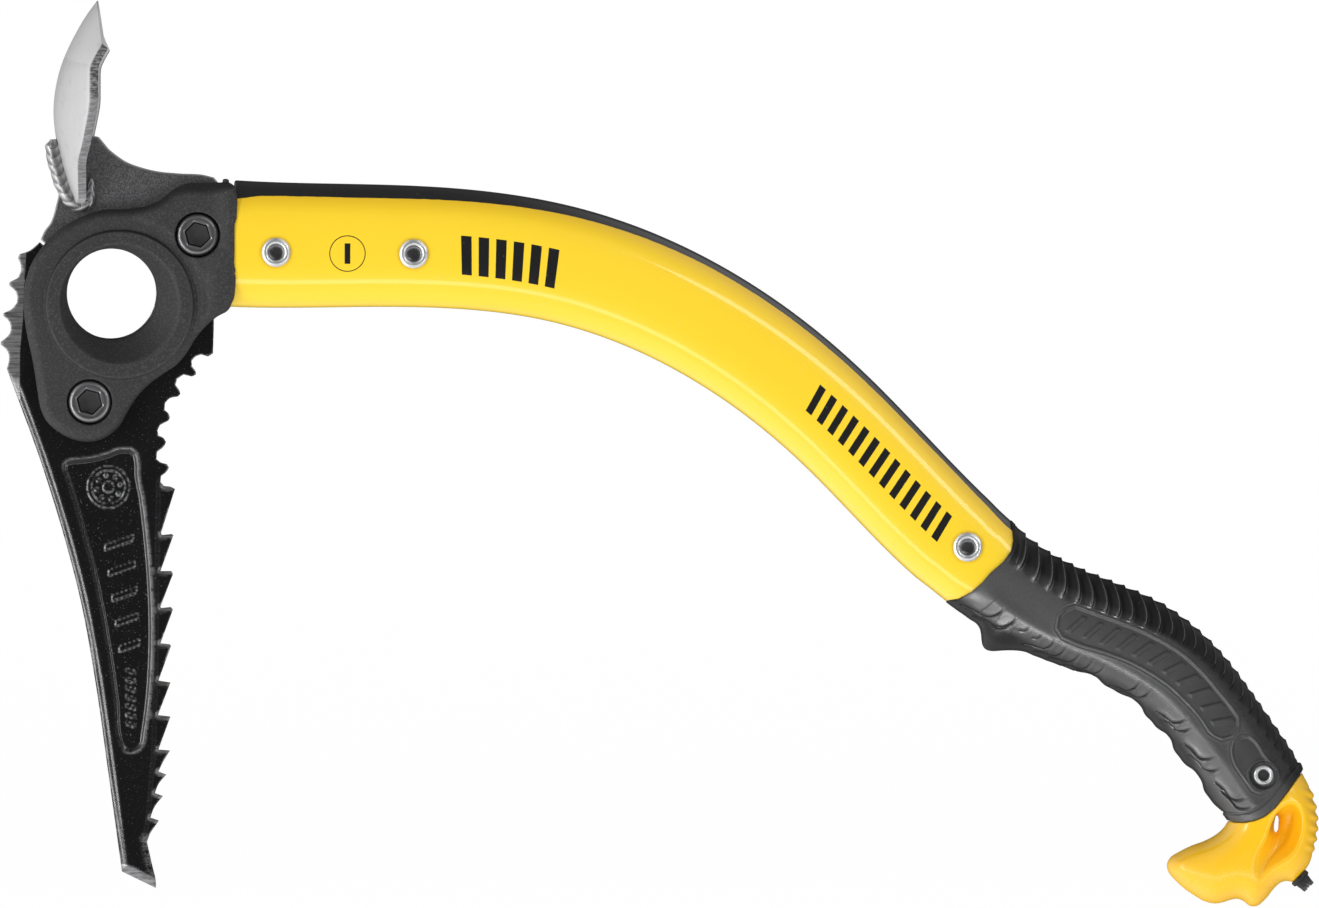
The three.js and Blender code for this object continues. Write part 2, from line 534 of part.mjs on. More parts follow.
// ---------------------------------------------------------- pommel and spike
const POMMEL = [
  [390.4, -183.1], [388.1, -186.2], [386.1, -187.9], [382.2, -190.1], [377.3, -191.8],
  [372.8, -194.1], [369.9, -195.8], [368.6, -198.4], [369.1, -201.2], [371.7, -204.4],
  [374.5, -207], [378.4, -209.7], [382.2, -211.8], [385.7, -212.4], [388.9, -211.9],
  [391.3, -211.1], [393.4, -210.7], [395.5, -211.4], [397.9, -213.3], [400.1, -213.4],
  [403.3, -210.9], [407.1, -206.4], [408.9, -204.9], [410.4, -204.5], [413.4, -205.1],
  [415.3, -203.4], [417.2, -200.8], [418.5, -198.9], [420.2, -194.1], [421.4, -188.7],
  [421.8, -183.8], [421.1, -178.2], [419.6, -173.2], [416.5, -166.9],
];
const EYE = [
  [412.3, -177.1], [409.9, -178.3], [407.4, -180.6], [405.3, -184.8], [403.6, -190.1],
  [401.4, -193.9], [400.2, -197.8], [400.4, -202.3], [401.4, -205.8], [402.9, -203.7],
  [406, -200.2], [410.2, -196.7], [413.7, -193.6], [416.1, -189.3], [417.2, -184.8],
  [416.5, -180.2], [414.8, -177.8],
];
// stepped layers that round the pommel: outline inset, half thickness
const POMMEL_LAYERS = [[0, 8.2], [1.2, 10.6], [2.6, 12]];
const END_DIRECTION = [0.521, -0.8536];   // along the shaft at the pommel
const END_CENTRE = [403.4, -175.5];
const END_HALF_WIDTH = 40;
const POMMEL_END_GAP = 0.35;
const SPIKE_BASE = [414.96, -202.86];
const SPIKE_ANGLE = Math.PI / 4;          // below +X
const SPIKE_R = 2.8;
const SPIKE_TIP_R = 1.8;

// cylinder or cone along the spike axis, distances measured from SPIKE_BASE
const spikeCylinder = (r0, start, end, r1 = r0) => {
  const geometry = new THREE.CylinderGeometry(r1, r0, end - start, 24, 1);
  geometry.translate(0, (start + end) / 2, 0);
  geometry.rotateZ(-Math.PI / 2);
  geometry.rotateY(SPIKE_ANGLE);
  geometry.translate(SPIKE_BASE[0], 0, SPIKE_BASE[1]);
  return solid(geometry);
};

// region on the shaft side of the pommel's upper face
const shaftSide = () => {
  const [dx, dz] = END_DIRECTION;
  const [x, z] = END_CENTRE;
  const outline = [
    [380, -176.4],
    [x + END_HALF_WIDTH * dz, z - END_HALF_WIDTH * dx],
    [x - END_HALF_WIDTH * dz, z + END_HALF_WIDTH * dx],
    [400, -140],
  ];
  return outline.map(([px, pz]) => [px + dx * POMMEL_END_GAP, pz + dz * POMMEL_END_GAP]);
};

const buildPommel = () => {
  const body = POMMEL_LAYERS
    .map(([insetBy, halfThickness]) => midPlate(inset(POMMEL, insetBy), halfThickness))
    .reduce((sum, layer) => sum.add(layer))
    .subtract(midPlate(shaftSide(), THROUGH))
    .subtract(midPlate(EYE, THROUGH));
  const spigot = loft(stretched(shaftBetween(389, 401.6), 0, 6), INSERT_GROW);
  const spikeHole = spikeCylinder(SPIKE_R + GAP, -5, 30);
  return largestPart(body.add(drillForRivets(spigot, [POMMEL_RIVET])).subtract(spikeHole));
};

const buildSpike = () =>
  spikeCylinder(SPIKE_R, -4.6, 0.5).add(spikeCylinder(SPIKE_R, 0.4, 5.7, SPIKE_TIP_R));

// ------------------------------------------------------------------ assembly
const FINISHES = {
  forged: { color: 0x2b2c2e, roughness: 0.75, metalness: 0.4 },
  blackSteel: { color: 0x161718, roughness: 0.35, metalness: 0.7 },
  greySteel: { color: 0x6a6c6e, roughness: 0.55, metalness: 0.8 },
  brightSteel: { color: 0xb9bbbc, roughness: 0.35, metalness: 0.9 },
  rivet: { color: 0xd8dadc, roughness: 0.15, metalness: 1 },
  bolt: { color: 0x3a3c3e, roughness: 0.4, metalness: 0.8 },
  lacquer: { color: 0xffd51e, roughness: 0.25, metalness: 0 },
  rubber: { color: 0x1d1e1f, roughness: 0.7, metalness: 0 },
  yellowPlastic: { color: 0xffbe14, roughness: 0.3, metalness: 0 },
  blackPlastic: { color: 0x222324, roughness: 0.6, metalness: 0 },
};
const SIDES = [['near', -1], ['far', 1]];

const root = new THREE.Group();
const tool = new THREE.Group();
tool.position.set(-ORIGIN.x, 0, -ORIGIN.z);
root.add(tool);

const put = (name, body, finish) => {
  const { vertProperties, triVerts } = body.getMesh();
  const geometry = new THREE.BufferGeometry();
  geometry.setAttribute('position', new THREE.Float32BufferAttribute(vertProperties, 3));
  geometry.setIndex(Array.from(triVerts));
  geometry.computeVertexNormals();
  const mesh = new THREE.Mesh(geometry, new THREE.MeshStandardMaterial(FINISHES[finish]));
  mesh.name = name;
  tool.add(mesh);
};

put('shaft_tube', buildTube(), 'lacquer');
put('head_body', buildHead(), 'forged');
put('pick', buildPick(), 'blackSteel');
put('adze_plate', buildAdzePlate(), 'greySteel');
put('adze_blade', buildBlade(), 'brightSteel');
for (const [tag, side] of SIDES) put(`adze_weld_${tag}`, buildWeld(side), 'brightSteel');
for (const [tag, centre] of [['upper', BOLT_UPPER], ['lower', BOLT_LOWER]]) {
  put(`head_bolt_${tag}`, buildBolt(centre), 'bolt');
  put(`head_nut_${tag}`, buildNut(centre), 'bolt');
}
put('shaft_plug', buildPlug(), 'blackPlastic');
for (const rivet of RIVETS) {
  for (const [tag, side] of SIDES) put(`${rivet.name}_${tag}`, buildRivet(rivet, side), 'rivet');
}
put('grip', buildGrip(), 'rubber');
put('pommel', buildPommel(), 'yellowPlastic');
put('spike', buildSpike(), 'blackSteel');

export default root;
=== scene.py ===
# Ice axe lying in the XZ plane: head at low X with the toothed pick below it and the adze
# above, and a curved shaft running towards +X and down to the grip, pommel and spike.
#
# Shapes are drawn in millimetres about the centre of the hole in the head: X towards the
# grip, Z up, Y through the thickness, near side -Y. Along the shaft, s is the arc length of
# the centre line and r the distance from it, positive on the back (the upper side) and
# negative on the belly. mesh() moves the drawing to the frame, in metres.
import math

import bpy
import numpy as np
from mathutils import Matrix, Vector
from mathutils.geometry import delaunay_2d_cdt


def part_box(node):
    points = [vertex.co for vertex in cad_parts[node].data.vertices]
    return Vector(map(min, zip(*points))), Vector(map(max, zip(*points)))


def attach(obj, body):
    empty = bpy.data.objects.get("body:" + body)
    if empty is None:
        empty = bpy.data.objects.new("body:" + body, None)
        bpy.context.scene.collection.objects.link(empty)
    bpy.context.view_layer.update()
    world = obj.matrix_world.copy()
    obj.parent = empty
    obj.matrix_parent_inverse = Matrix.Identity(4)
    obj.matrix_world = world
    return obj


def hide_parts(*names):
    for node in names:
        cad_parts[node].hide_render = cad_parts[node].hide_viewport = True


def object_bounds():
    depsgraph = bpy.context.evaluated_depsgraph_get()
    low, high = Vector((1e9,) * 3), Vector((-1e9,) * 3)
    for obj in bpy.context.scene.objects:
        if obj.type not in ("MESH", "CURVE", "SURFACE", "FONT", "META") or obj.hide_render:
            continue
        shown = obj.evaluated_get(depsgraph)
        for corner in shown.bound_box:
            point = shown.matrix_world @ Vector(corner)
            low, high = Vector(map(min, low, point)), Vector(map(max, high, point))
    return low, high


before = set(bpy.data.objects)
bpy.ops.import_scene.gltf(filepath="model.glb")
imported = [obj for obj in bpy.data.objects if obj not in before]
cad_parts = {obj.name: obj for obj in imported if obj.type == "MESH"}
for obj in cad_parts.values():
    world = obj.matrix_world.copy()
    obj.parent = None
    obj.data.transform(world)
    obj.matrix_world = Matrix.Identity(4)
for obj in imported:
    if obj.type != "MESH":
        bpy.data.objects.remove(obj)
cad_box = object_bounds()


def table(text):
    """Array from text: columns split by spaces, rows by commas."""
    return np.array([[float(number) for number in row.split()] for row in text.split(",")])


# ------------------------------------------------------------------ outlines, x z
PICK = table("""
-29.4 16.1, -32.55 15.05, -33.25 13.65, -32.2 11.2, -32.2 9.1, -33.25 6.65, -36.05 5.25,
-36.4 4.2, -33.95 1.75, -33.42 -0.35, -33.6 -2.1, -35.35 -4.2, -38.15 -5.6, -38.5 -6.47,
-36.4 -8.4, -35.7 -10.85, -36.05 -12.6, -37.45 -14.35, -39.38 -15.75, -39.38 -16.62,
-37.45 -18.2, -36.4 -20.3, -36.4 -22.4, -37.1 -25.2, -24.15 -60.9, -16.45 -86.1,
-11.2 -106.75, -5.95 -135.8, -1.75 -165.55, 2.45 -199.5, 3.15 -201.07, 15.05 -206.85,
15.05 -205.45, 13.47 -197.75, 11.9 -190.75, 12.95 -187.95, 14.52 -185.5, 16.1 -183.22,
13.12 -182.17, 14.35 -178.85, 17.5 -174.65, 14.7 -173.6, 15.75 -170.8, 18.72 -167.12,
15.92 -166.07, 17.15 -163.45, 19.95 -158.72, 15.92 -158.38, 20.12 -146.82, 15.75 -146.3,
20.12 -134.92, 15.92 -134.22, 20.3 -122.15, 19.95 -121.55, 16.62 -121.17, 21 -109.38,
20.3 -108.5, 16.8 -108.85, 16.62 -108.32, 21 -96.95, 20.47 -95.9, 16.62 -95.9, 21.17 -83.3,
20.47 -82.95, 17.15 -83.3, 16.8 -82.6, 21.7 -67.2, 20.47 -66.5, 17.85 -66.15, 16.62 -64.75,
16.8 -62.65, 19.07 -60.72, 19.6 -59.67, 18.9 -58.45, 16.45 -57.75, 15.22 -56.7, 15.4 -54.25,
18.02 -51.97, 18.55 -50.75, 17.67 -49.35, 15.92 -48.47, 15.57 -46.72, 16.45 -44.8,
19.42 -43.22, 19.95 -42.17, 19.42 -40.77, 18.02 -39.55, 18.2 -37.1, 19.77 -35.52,
22.75 -34.82, 23.56 -33.95, 23.27 -32.73, 21.88 -30.8, 22.4 -28.7, 24.67 -27.12,
27.65 -27.82, 29.05 -27.12, 28.87 -25.9, 27.65 -24.32, 27.47 -22.4, 28.7 -21, 30.8 -20.12,
33.25 -20.82, 35 -19.77, 35.35 -8.05, 35.35 9.41, 29.75 9.41, 25.2 9.76, 20.16 11.51,
17.29 13.44, 10.53 19.63, -0.35 22.54, -11.23 19.63, -18.48 13.09, -25.55 19.18""")

# recess in both faces of the pick
POCKET = table("""
-16.2 -57.3, -14.6 -56.8, -12.6 -56.6, -8.22 -56.17, -1.92 -54.6, 2.24 -53.02, 6.3 -53.02,
8.4 -54.6, 9.1 -58.1, 9.21 -62.65, 10.5 -69.3, 11.38 -75.95, 11.38 -153.3, 10.85 -156.45,
9.1 -158.55, 6.3 -159.6, 3.85 -159.07, 2.8 -157.15, 0.7 -141.05, -1.75 -123.55,
-4.2 -109.55, -7 -96.25, -10.15 -84.35, -13.65 -71.75, -16.6 -62.6, -17.35 -60.4,
-17.3 -58.6""")

ADZE_PLATE = table("""
-25.27 20.09, -23.8 23.27, -22.05 25.55, -20.65 29.05, -19.95 31.85, -19.07 35.35,
-18.55 38.5, -18.9 41.65, -20.12 45.15, -20.82 48.65, -20.82 52.85, -19.6 55.3,
-13.3 56.17, -7.35 56.52, -4.9 56, -3.15 53.9, -1.4 51.8, 0.7 50.05, 4.9 47.25, 9.45 45.5,
15.05 44.1, 23.45 43.22, 31.85 42.7, 35.35 41.82, 37.1 39.55, 37.8 37.45, 37.8 12.25,
36.05 10.19, 29.75 10.19, 25.27 10.54, 20.47 12.29, 17.78 14.21, 10.92 20.44, -0.35 23.31,
-11.62 20.44, -18.23 14""")

# cheeks of the forged head
CHEEK = table("""
42.98 38.5, 41.3 39.83, 38.15 40.04, 31.64 39.9, 25.55 39.55, 23.1 38.67, 20.65 37.17,
18.9 35.52, 16.62 33.77, 13.54 32.34, 8.37 31.15, 1.89 30.73, -3.29 30.45, -7.84 29.22,
-12.35 27.3, -17.54 24.39, -22.05 20.51, -25.62 16.27, -28.21 12.07, -29.85 7.56,
-30.94 3.01, -31.15 -2.1, -30.87 -7.35, -29.85 -13.82, -28.42 -20.3, -27.27 -26.74,
-26.28 -33.25, -24.99 -39.69, -23.03 -43.57, -19.5 -46.83, -14.95 -49.42, -10.43 -50.57,
-5.88 -50.4, -1.37 -48.44, 2.52 -44.87, 5.11 -40.36, 8.37 -35.17, 12.25 -30.97,
17.43 -27.09, 22.57 -23.52, 25.83 -19.64, 29.05 -14.46, 32.3 -10.57, 36.19 -7,
40.39 -4.41, 41.37 -2.8, 42.35 -0.88, 42.98 3.01, 43.51 8.19, 43.96 15.33, 44.13 23.1,
44.1 29.57, 43.64 34.76""")

# raised area of the head where the shaft enters
COLLAR = table("""
37.8 40, 41.3 39.8, 43 38.5, 43.6 34.8, 44.1 29.6, 44.1 15.3, 43.5 8.2, 43 3, 42.4 -0.9,
41.4 -2.8, 40.4 -4.4, 36.2 -7, 32.6 -10.5, 33.4 -5, 33.8 3, 33.6 9, 35.2 13.5, 38.6 17""")

# adze blade, foot to cutting edge: middle line, side edges, half widths in Y
BLADE_MIDDLE = table("""
-13.3 31.85, -15.05 36.75, -16.8 42, -18.38 47.95, -19.77 54.6, -20.65 61.25, -20.75 67.2,
-19.95 73.85, -18.38 80.15, -16.1 86.1, -12.95 92.4, -9.45 98.35, -5.6 103.67""")
BLADE_SIDE = table("""
-12.07 34.3, -12.07 38.15, -12.07 42.35, -11.9 47.6, -10.32 53.9, -8.92 60.55, -7.7 67.55,
-7.6 73.85, -7.49 79.8, -6.47 82.6, -5.25 84.88, -4.2 86.62, -3.5 88.02""")
BLADE_WIDTH = [8, 10, 12.2, 15.2, 18.6, 21.5, 23.8, 25, 25.6, 25.6, 25.3, 24.8, 24.2]

POMMEL = table("""
390.42 -183.05, 388.15 -186.2, 386.05 -187.95, 382.2 -190.05, 377.3 -191.8, 372.75 -194.07,
369.95 -195.82, 368.55 -198.45, 369.07 -201.25, 371.7 -204.4, 374.5 -207.02,
378.35 -209.65, 382.2 -211.75, 385.7 -212.45, 388.85 -211.92, 391.3 -211.05, 393.4 -210.7,
395.5 -211.4, 397.95 -213.32, 400.05 -213.4, 403.34 -210.94, 407.05 -206.43,
408.94 -204.92, 410.44 -204.5, 413.45 -205.1, 415.34 -203.45, 417.2 -200.83,
418.53 -198.94, 420.21 -194.07, 421.4 -188.65, 421.75 -183.75, 421.05 -178.15,
419.65 -173.25, 416.5 -166.95""")
# dished eye of the pommel, at the face and at mid thickness
EYE = table("""
412.3 -177.1, 409.85 -178.32, 407.4 -180.6, 405.3 -184.8, 403.55 -190.05, 401.45 -193.9,
400.22 -197.75, 400.4 -202.3, 401.45 -205.8, 402.85 -203.7, 406 -200.2, 410.2 -196.7,
413.7 -193.55, 416.15 -189.35, 417.2 -184.8, 416.5 -180.25, 414.75 -177.8""")
EYE_HOLE = table("""
406.6 -180.2, 408.3 -181.2, 408.7 -184.2, 408 -187.6, 406.6 -188.6, 405.7 -186.6,
405.9 -183""")

# millimetres from the drawing to the frame
SHIFT_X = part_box("pick")[0].x * 1000 - PICK[:, 0].min()
SHIFT_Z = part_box("pommel")[0].z * 1000 - POMMEL[:, 1].min()

# ------------------------------------------------------------ places on the head
HOLE_AT, HOLE_R = (-0.35, 1.05), 15.7
RING_AT, RING_R = (2.45, -2.8), 26.1  # raised ring round the hole
FUNNEL_R, FUNNEL_Y = 21.0, 5.2  # mouth radius, |y| where the funnel meets the bore
BOLTS = {"upper": (29.75, 21.7), "lower": (-8.05, -36.75)}
# x, z, |y| of the seat, outer radius
RIVETS = [
    (57.22, 15.57, 11.0, 5.1),
    (105.35, 15.05, 11.0, 5.1),
    (299.07, -87.5, 11.0, 5.1),
    (402.5, -167.3, 10.9, 3.6),
]

# ------------------------------------------------------------ shaft and grip tables
# centre line: s, x, z, half depth
AXIS = table("""
0 42.03 18.73 22.17, 7.2 49.22 18.42 22.08, 14.44 56.45 18.23 21.98,
21.71 63.73 18.12 21.87, 29.01 71.03 18.07 21.75, 36.34 78.35 18.05 21.64,
43.68 85.69 18.02 21.52, 51.03 93.04 17.96 21.41, 58.37 100.39 17.83 21.31,
65.72 107.73 17.61 21.2, 73.05 115.05 17.27 21.1, 80.37 122.36 16.78 20.99,
87.68 129.64 16.11 20.89, 94.97 136.88 15.25 20.79, 102.25 144.07 14.17 20.69,
109.53 151.23 12.83 20.6, 116.8 158.32 11.22 20.5, 124.09 165.35 9.31 20.41,
131.38 172.3 7.12 20.31, 138.67 179.17 4.66 20.22, 145.97 185.94 1.92 20.12,
153.28 192.61 -1.06 20.02, 160.6 199.17 -4.3 19.93, 167.92 205.62 -7.77 19.83,
175.24 211.94 -11.46 19.73, 182.57 218.14 -15.37 19.64, 189.9 224.21 -19.48 19.54,
197.23 230.14 -23.78 19.44, 204.55 235.93 -28.27 19.34, 211.88 241.58 -32.94 19.24,
219.2 247.08 -37.77 19.14, 226.52 252.44 -42.75 19.05, 233.83 257.67 -47.87 18.98,
241.15 262.8 -53.08 18.94, 248.46 267.86 -58.36 18.92, 255.77 272.9 -63.66 18.92,
263.07 277.93 -68.94 18.91, 270.35 283.02 -74.16 18.89, 277.63 288.19 -79.28 18.83,
284.91 293.5 -84.25 18.69, 292.19 298.99 -89.04 18.46, 299.48 304.67 -93.6 18.13,
306.77 310.55 -97.91 17.77, 314.08 316.65 -101.94 17.42, 321.4 322.95 -105.66 17.16,
328.74 329.47 -109.04 17.01, 336.1 336.14 -112.16 16.97, 343.47 342.87 -115.16 17.01,
350.83 349.57 -118.21 17.11, 358.15 356.13 -121.45 17.22, 365.41 362.43 -125.06 17.27,
372.62 368.34 -129.19 17.16, 379.81 373.77 -133.89 16.88, 387.03 378.76 -139.11 16.59,
394.34 383.37 -144.79 16.38, 401.74 387.66 -150.82 16.25, 409.19 391.73 -157.06 16.17,
416.62 395.64 -163.37 16.13, 423.94 399.51 -169.6 16.05, 431.08 403.42 -175.56 15.87""")

# half depth of the grip on the belly, every BELLY_STEP from s = BELLY_START
BELLY_START, BELLY_STEP = 296.0, 1.0
BELLY = table("""
18.5 18.48 18.46 18.49 18.51 18.49 18.46 18.46 18.34 18.32 18.57 18.47 18.22 18.19 18.57
19.03 20.15 22.15 23.73 24.28 24.24 23.96 23.32 22.38 21.57 20.91 20.25 19.61 19.16 18.69
18.32 18.05 18.14 18.19 18.08 17.9 17.79 17.92 17.85 17.73 17.53 17.5 17.56 17.5 17.39
17.18 17.23 17.26 17.19 17.06 16.79 16.53 16.2 15.94 15.9 15.84 15.83 15.86 16.05 16.54
17.03 17.17 17.2 17.17 17.06 17.04 17.14 17.27 17.18 17.07 16.94 16.74 16.49 16.2 16.19
16.23 16.24 16.26 16.33 16.4 16.5 17.07 17.47 17.68 17.8 17.79 17.71 17.64 17.76 17.91
17.96 17.89 17.72 17.43 17.05 16.73 16.65 16.63 16.61 16.68 17.01 17.57 17.91 17.97 17.94
17.85 17.68 17.77 17.77 17.65 17.44 17.07 16.48 16.08 15.88 15.83 15.77 15.71 15.68 15.85
16.39 16.81 16.84 16.71 16.51 16.48 16.48 16.34 16.06 15.68 15.36 15.2 15.12 15.05 15""")[0]
# half depth of the grip on the back: s, r
BACK = table("""
290 18.5, 297 18.3, 301 17.8, 306 17, 312 16.8, 318 16.55, 326 16.65, 333 16.7, 340 17,
347 17.25, 354 17.6, 360 17.8, 367 17.5, 374 17.1, 380 16.8, 388 16.35, 395 15.95, 403 16,
410 16.25, 417 16.6, 423 16.7, 428 16.7, 431.1 15.9""")
GRIP_WIDTH = table("""
290 12.05, 299 12.1, 306 12.5, 318 13.2, 334 13.7, 350 13.9, 372 13.9, 395 13.5,
415 13.1, 431 12.9""")
# bore of the grip: s, half size on the back, on the belly and in Y
BORE_BACK = table("284 19, 297 18.2, 301 17.35, 306 16.4, 321 15.5, 343 14.5, 372 14.3, 431 13.2")
BORE_BELLY = table("""
284 18.8, 297 18.3, 303 17.6, 310 16.7, 321 14.9, 343 14.2, 372 14.2, 431 13.2""")
BORE_WIDTH = table("284 11.35, 321 11, 350 10.4, 431 10.2")
# tube inside the grip: s, half size on the back, on the belly; and in Y for the whole tube
TUBE_BACK = table("284 18.65, 297 18, 301 17.2, 306 16.2, 321 15.3, 343 14.2, 372 14, 424 12.9")
TUBE_BELLY = table("""
284 18.35, 297 18.15, 303 17.4, 310 16.4, 321 14.6, 343 13.9, 372 13.9, 424 12.9""")
TUBE_WIDTH = table("-1 11, 300 11, 321 10.6, 350 10, 424 9.8")
TUBE_ROUNDING = table("-0.45 0.5, -0.3 0.22, 0 0.05, 0.5 0")  # s, inset of the upper rim

# black paint on the back of the shaft starts at this r: s, r
PAINT = table("""
0 15.4, 2 15.8, 4 16.1, 6 16.5, 8 16.8, 10 17, 18 17.1, 24 17, 32 16.9, 40 16.7, 48 16.6,
60 16.5, 72 16.6, 88 16.7, 104 16.9, 112 17, 128 17.2, 144 17.4, 160 17.5, 176 17.4,
192 17.3, 208 17.1, 228 17, 252 17.1, 264 17.3, 272 17.2, 280 16.9, 288 16.5, 296 15.6,
310 15""")

# lines across the grip, r s: upper end, the step behind it, lower end
GRIP_START = table("""
-19.2 296.43, -15.74 299.63, -10.83 301.62, -5.63 302.75, -1.09 303.01, 4.91 304.37,
10.73 304.49, 14.39 302.78, 16.72 300.42, 18.9 296.74""")
GRIP_STEP = table("""
-19.5 305, -16.04 307.12, -12.04 308.5, -7.96 309.48, -0.87 309.36, 4.46 309.14,
9.99 307.85, 13.26 306.31, 17.46 301.5, 19.5 299.5""")
GRIP_END = table("""
-15.4 430.2, -13 432.4, -11.3 433.7, -7.5 435.3, -3.7 436, 1 435.4, 6.5 433.6,
11.5 431.7, 16.5 430""")

# framed panels on the sides of the grip, s r
LONG_PANEL = table("""
332.15 -5.89, 331.01 -1.8, 332.36 1.93, 334.8 4.2, 344.11 4.9, 355.03 5.84, 365.91 6.68,
375.36 7.35, 384.15 7.36, 391.75 7.23, 398.55 7.53, 402.16 7.47, 404.99 5.54, 406.28 1.77,
405.26 -1.74, 402.31 -3.59, 394.64 -3.87, 386.36 -4.18, 378.78 -4.52, 369.63 -5.15,
359.09 -5.85, 349.48 -6.9, 342.13 -7.86, 335.3 -7.88""")
SHORT_PANEL = table("""
410.22 -1.15, 407.93 1.12, 407.48 4.32, 409.14 6.98, 412.17 7.94, 417.96 8.05,
422.97 8.69, 427.01 7.02, 428.53 3.54, 428.35 -0.54, 425.96 -2.31, 420.47 -2.55,
414.66 -2.66""")
PANEL_MIDDLE = table("331 -2, 345 -1.4, 360 0.4, 375 1.4, 390 1.9, 406 2")

# ribs on the back: s at the silhouette, then s r of the end on the side face
RIB_TOP = table("""
306 312 318 323 328 333 338.5 343.5 348 353 357.7 362 366.3 370.5 374.5 379 383 387 391 395
399 403 408 413 418 422.5""")[0]
RIB_END = table("""
311.25 5.82, 318.2 5.01, 324.06 4.94, 329.87 4.64, 335.48 5.27, 340.71 5.68, 346.01 5.76,
350.33 6.23, 354.87 6.94, 359.91 7.33, 364.37 8.09, 368.37 8.9, 372.64 9.4, 376.61 9.97,
380.57 10.29, 384.29 10.58, 388.48 10.61, 392.73 10.85, 397.73 11.15, 402.82 11.64,
407.06 12.08, 412.41 12.32, 416.81 12.86, 421.94 13.04, 426.73 13.04, 430.5 13.1""")
# soft ridge along the belly side, s r
RIDGE = table("""
300 -7, 312.05 -8.27, 327.88 -9.58, 343.13 -10.1, 354.82 -9.5, 367.99 -9.16, 382.23 -7.78,
393.57 -7.51, 404.71 -6.4, 416.01 -5.14, 432 -4.6""")
# notches in the belly: s and r of the end on the side face, run along s, depth
NOTCHES = table("""
313.8 -7.92 11 0.55, 318.89 -8.74 11 0.55, 324.06 -9.3 5 0.35, 328.92 -9.43 5 0.35,
333.56 -9.85 8 0.5, 337.96 -10.49 8 0.55, 343.27 -10.42 8 0.6, 348.54 -10.79 8 0.6,
353.32 -10.58 8 0.5, 368.45 -9.74 9 0.7, 373.98 -9.68 9 0.7, 391.7 -7.47 9 0.65,
395.52 -8 9 0.7, 409.01 -7.01 9 0.65, 413.56 -7.75 9 0.65, 427.05 -5.11 9 0.6,
430.73 -5.11 9 0.6""")


# ------------------------------------------------------------------ plane geometry
def ramp(start, end, x):
    """Smoothstep: 0 at start, 1 at end."""
    part = np.clip((x - start) / (end - start), 0, 1)
    return part * part * (3 - 2 * part)


def bell(x, width):
    return np.exp(-((x / width) ** 2))


def smax(first, second, soft):
    """Maximum with a fillet of size soft."""
    near = np.maximum(soft - np.abs(first - second), 0) / soft
    return np.maximum(first, second) + near * near * soft * 0.25


def lookup(rows, x):
    return np.interp(x, rows[:, 0], rows[:, 1])


def unit(vectors):
    return vectors / np.maximum(np.hypot(*vectors.T), 1e-9)[:, None]


def radius(x, z, centre):
    return np.hypot(x - centre[0], z - centre[1])


def run_length(points):
    """Length along a line, at each of its points."""
    return np.concatenate([[0], np.cumsum(np.hypot(*np.diff(points, axis=0).T))])


def hermite(u):
    """Cubic weights of the start, start slope, end and end slope."""
    return 2 * u**3 - 3 * u**2 + 1, u**3 - 2 * u**2 + u, -2 * u**3 + 3 * u**2, u**3 - u**2


def curve(points, step, closed=True, corner=32.0):
    """Smooth line through the points, sharp where it turns by more than corner degrees."""
    count = len(points)
    index = np.arange(count)
    before, after = (index - 1) % count, (index + 1) % count
    if not closed:
        before[0], after[-1] = 0, count - 1
    behind, ahead = points - points[before], points[after] - points
    if not closed:
        behind[0], ahead[-1] = ahead[0], behind[-1]
    length_in, length_out = np.hypot(*behind.T), np.hypot(*ahead.T)
    dir_in, dir_out = unit(behind), unit(ahead)
    sharp = ((dir_in * dir_out).sum(1) < math.cos(math.radians(corner)))[:, None]
    tangent = dir_in * length_out[:, None] + dir_out * length_in[:, None]
    tangent = unit(tangent / (length_in + length_out)[:, None])
    arrive = np.where(sharp, dir_in, tangent)
    leave = np.where(sharp, dir_out, tangent)
    line = []
    for i in range(count if closed else count - 1):
        j = (i + 1) % count
        run = length_out[i]
        pieces = max(1, int(round(run / step)))
        for k in range(pieces):
            start, start_slope, end, end_slope = hermite(k / pieces)
            line.append(
                start * points[i]
                + start_slope * run * leave[i]
                + end * points[j]
                + end_slope * run * arrive[j]
            )
    if not closed:
        line.append(points[-1])
    return np.array(line)


def ccw(loop):
    """The loop, turned counter-clockwise."""
    x, z = loop.T
    area = 0.5 * float((x * np.roll(z, -1) - np.roll(x, -1) * z).sum())
    return loop if area > 0 else loop[::-1].copy()


def smooth_loop(points, step, corner=32.0):
    return ccw(curve(points, step, corner=corner))


def inset(loop, distance):
    """Loop moved to its left, which is inwards when it runs counter-clockwise."""
    along = unit(np.roll(loop, -1, 0) - np.roll(loop, 1, 0))
    return loop + np.column_stack([-along[:, 1], along[:, 0]]) * distance


def gap(line, x, z, closed=False):
    """Distance from points to a line."""
    best = np.full(x.shape, 1e18)
    count = len(line) if closed else len(line) - 1
    for (x0, z0), (x1, z1) in zip(line[:count], np.roll(line, -1, 0)):
        dx, dz = x1 - x0, z1 - z0
        square = dx * dx + dz * dz
        if square < 1e-12:
            continue
        part = np.clip(((x - x0) * dx + (z - z0) * dz) / square, 0, 1)
        best = np.minimum(best, (x - x0 - part * dx) ** 2 + (z - z0 - part * dz) ** 2)
    return np.sqrt(best)


def outside(outline, x, z):
    """Signed distance to a closed outline, negative inside."""
    inside = np.zeros(x.shape, bool)
    for (x0, z0), (x1, z1) in zip(outline, np.roll(outline, -1, 0)):
        if z0 != z1:
            crossed = (z0 > z) != (z1 > z)
            inside ^= crossed & (x < (x1 - x0) * (z - z0) / (z1 - z0) + x0)
    distance = gap(outline, x, z, closed=True)
    return np.where(inside, -distance, distance)


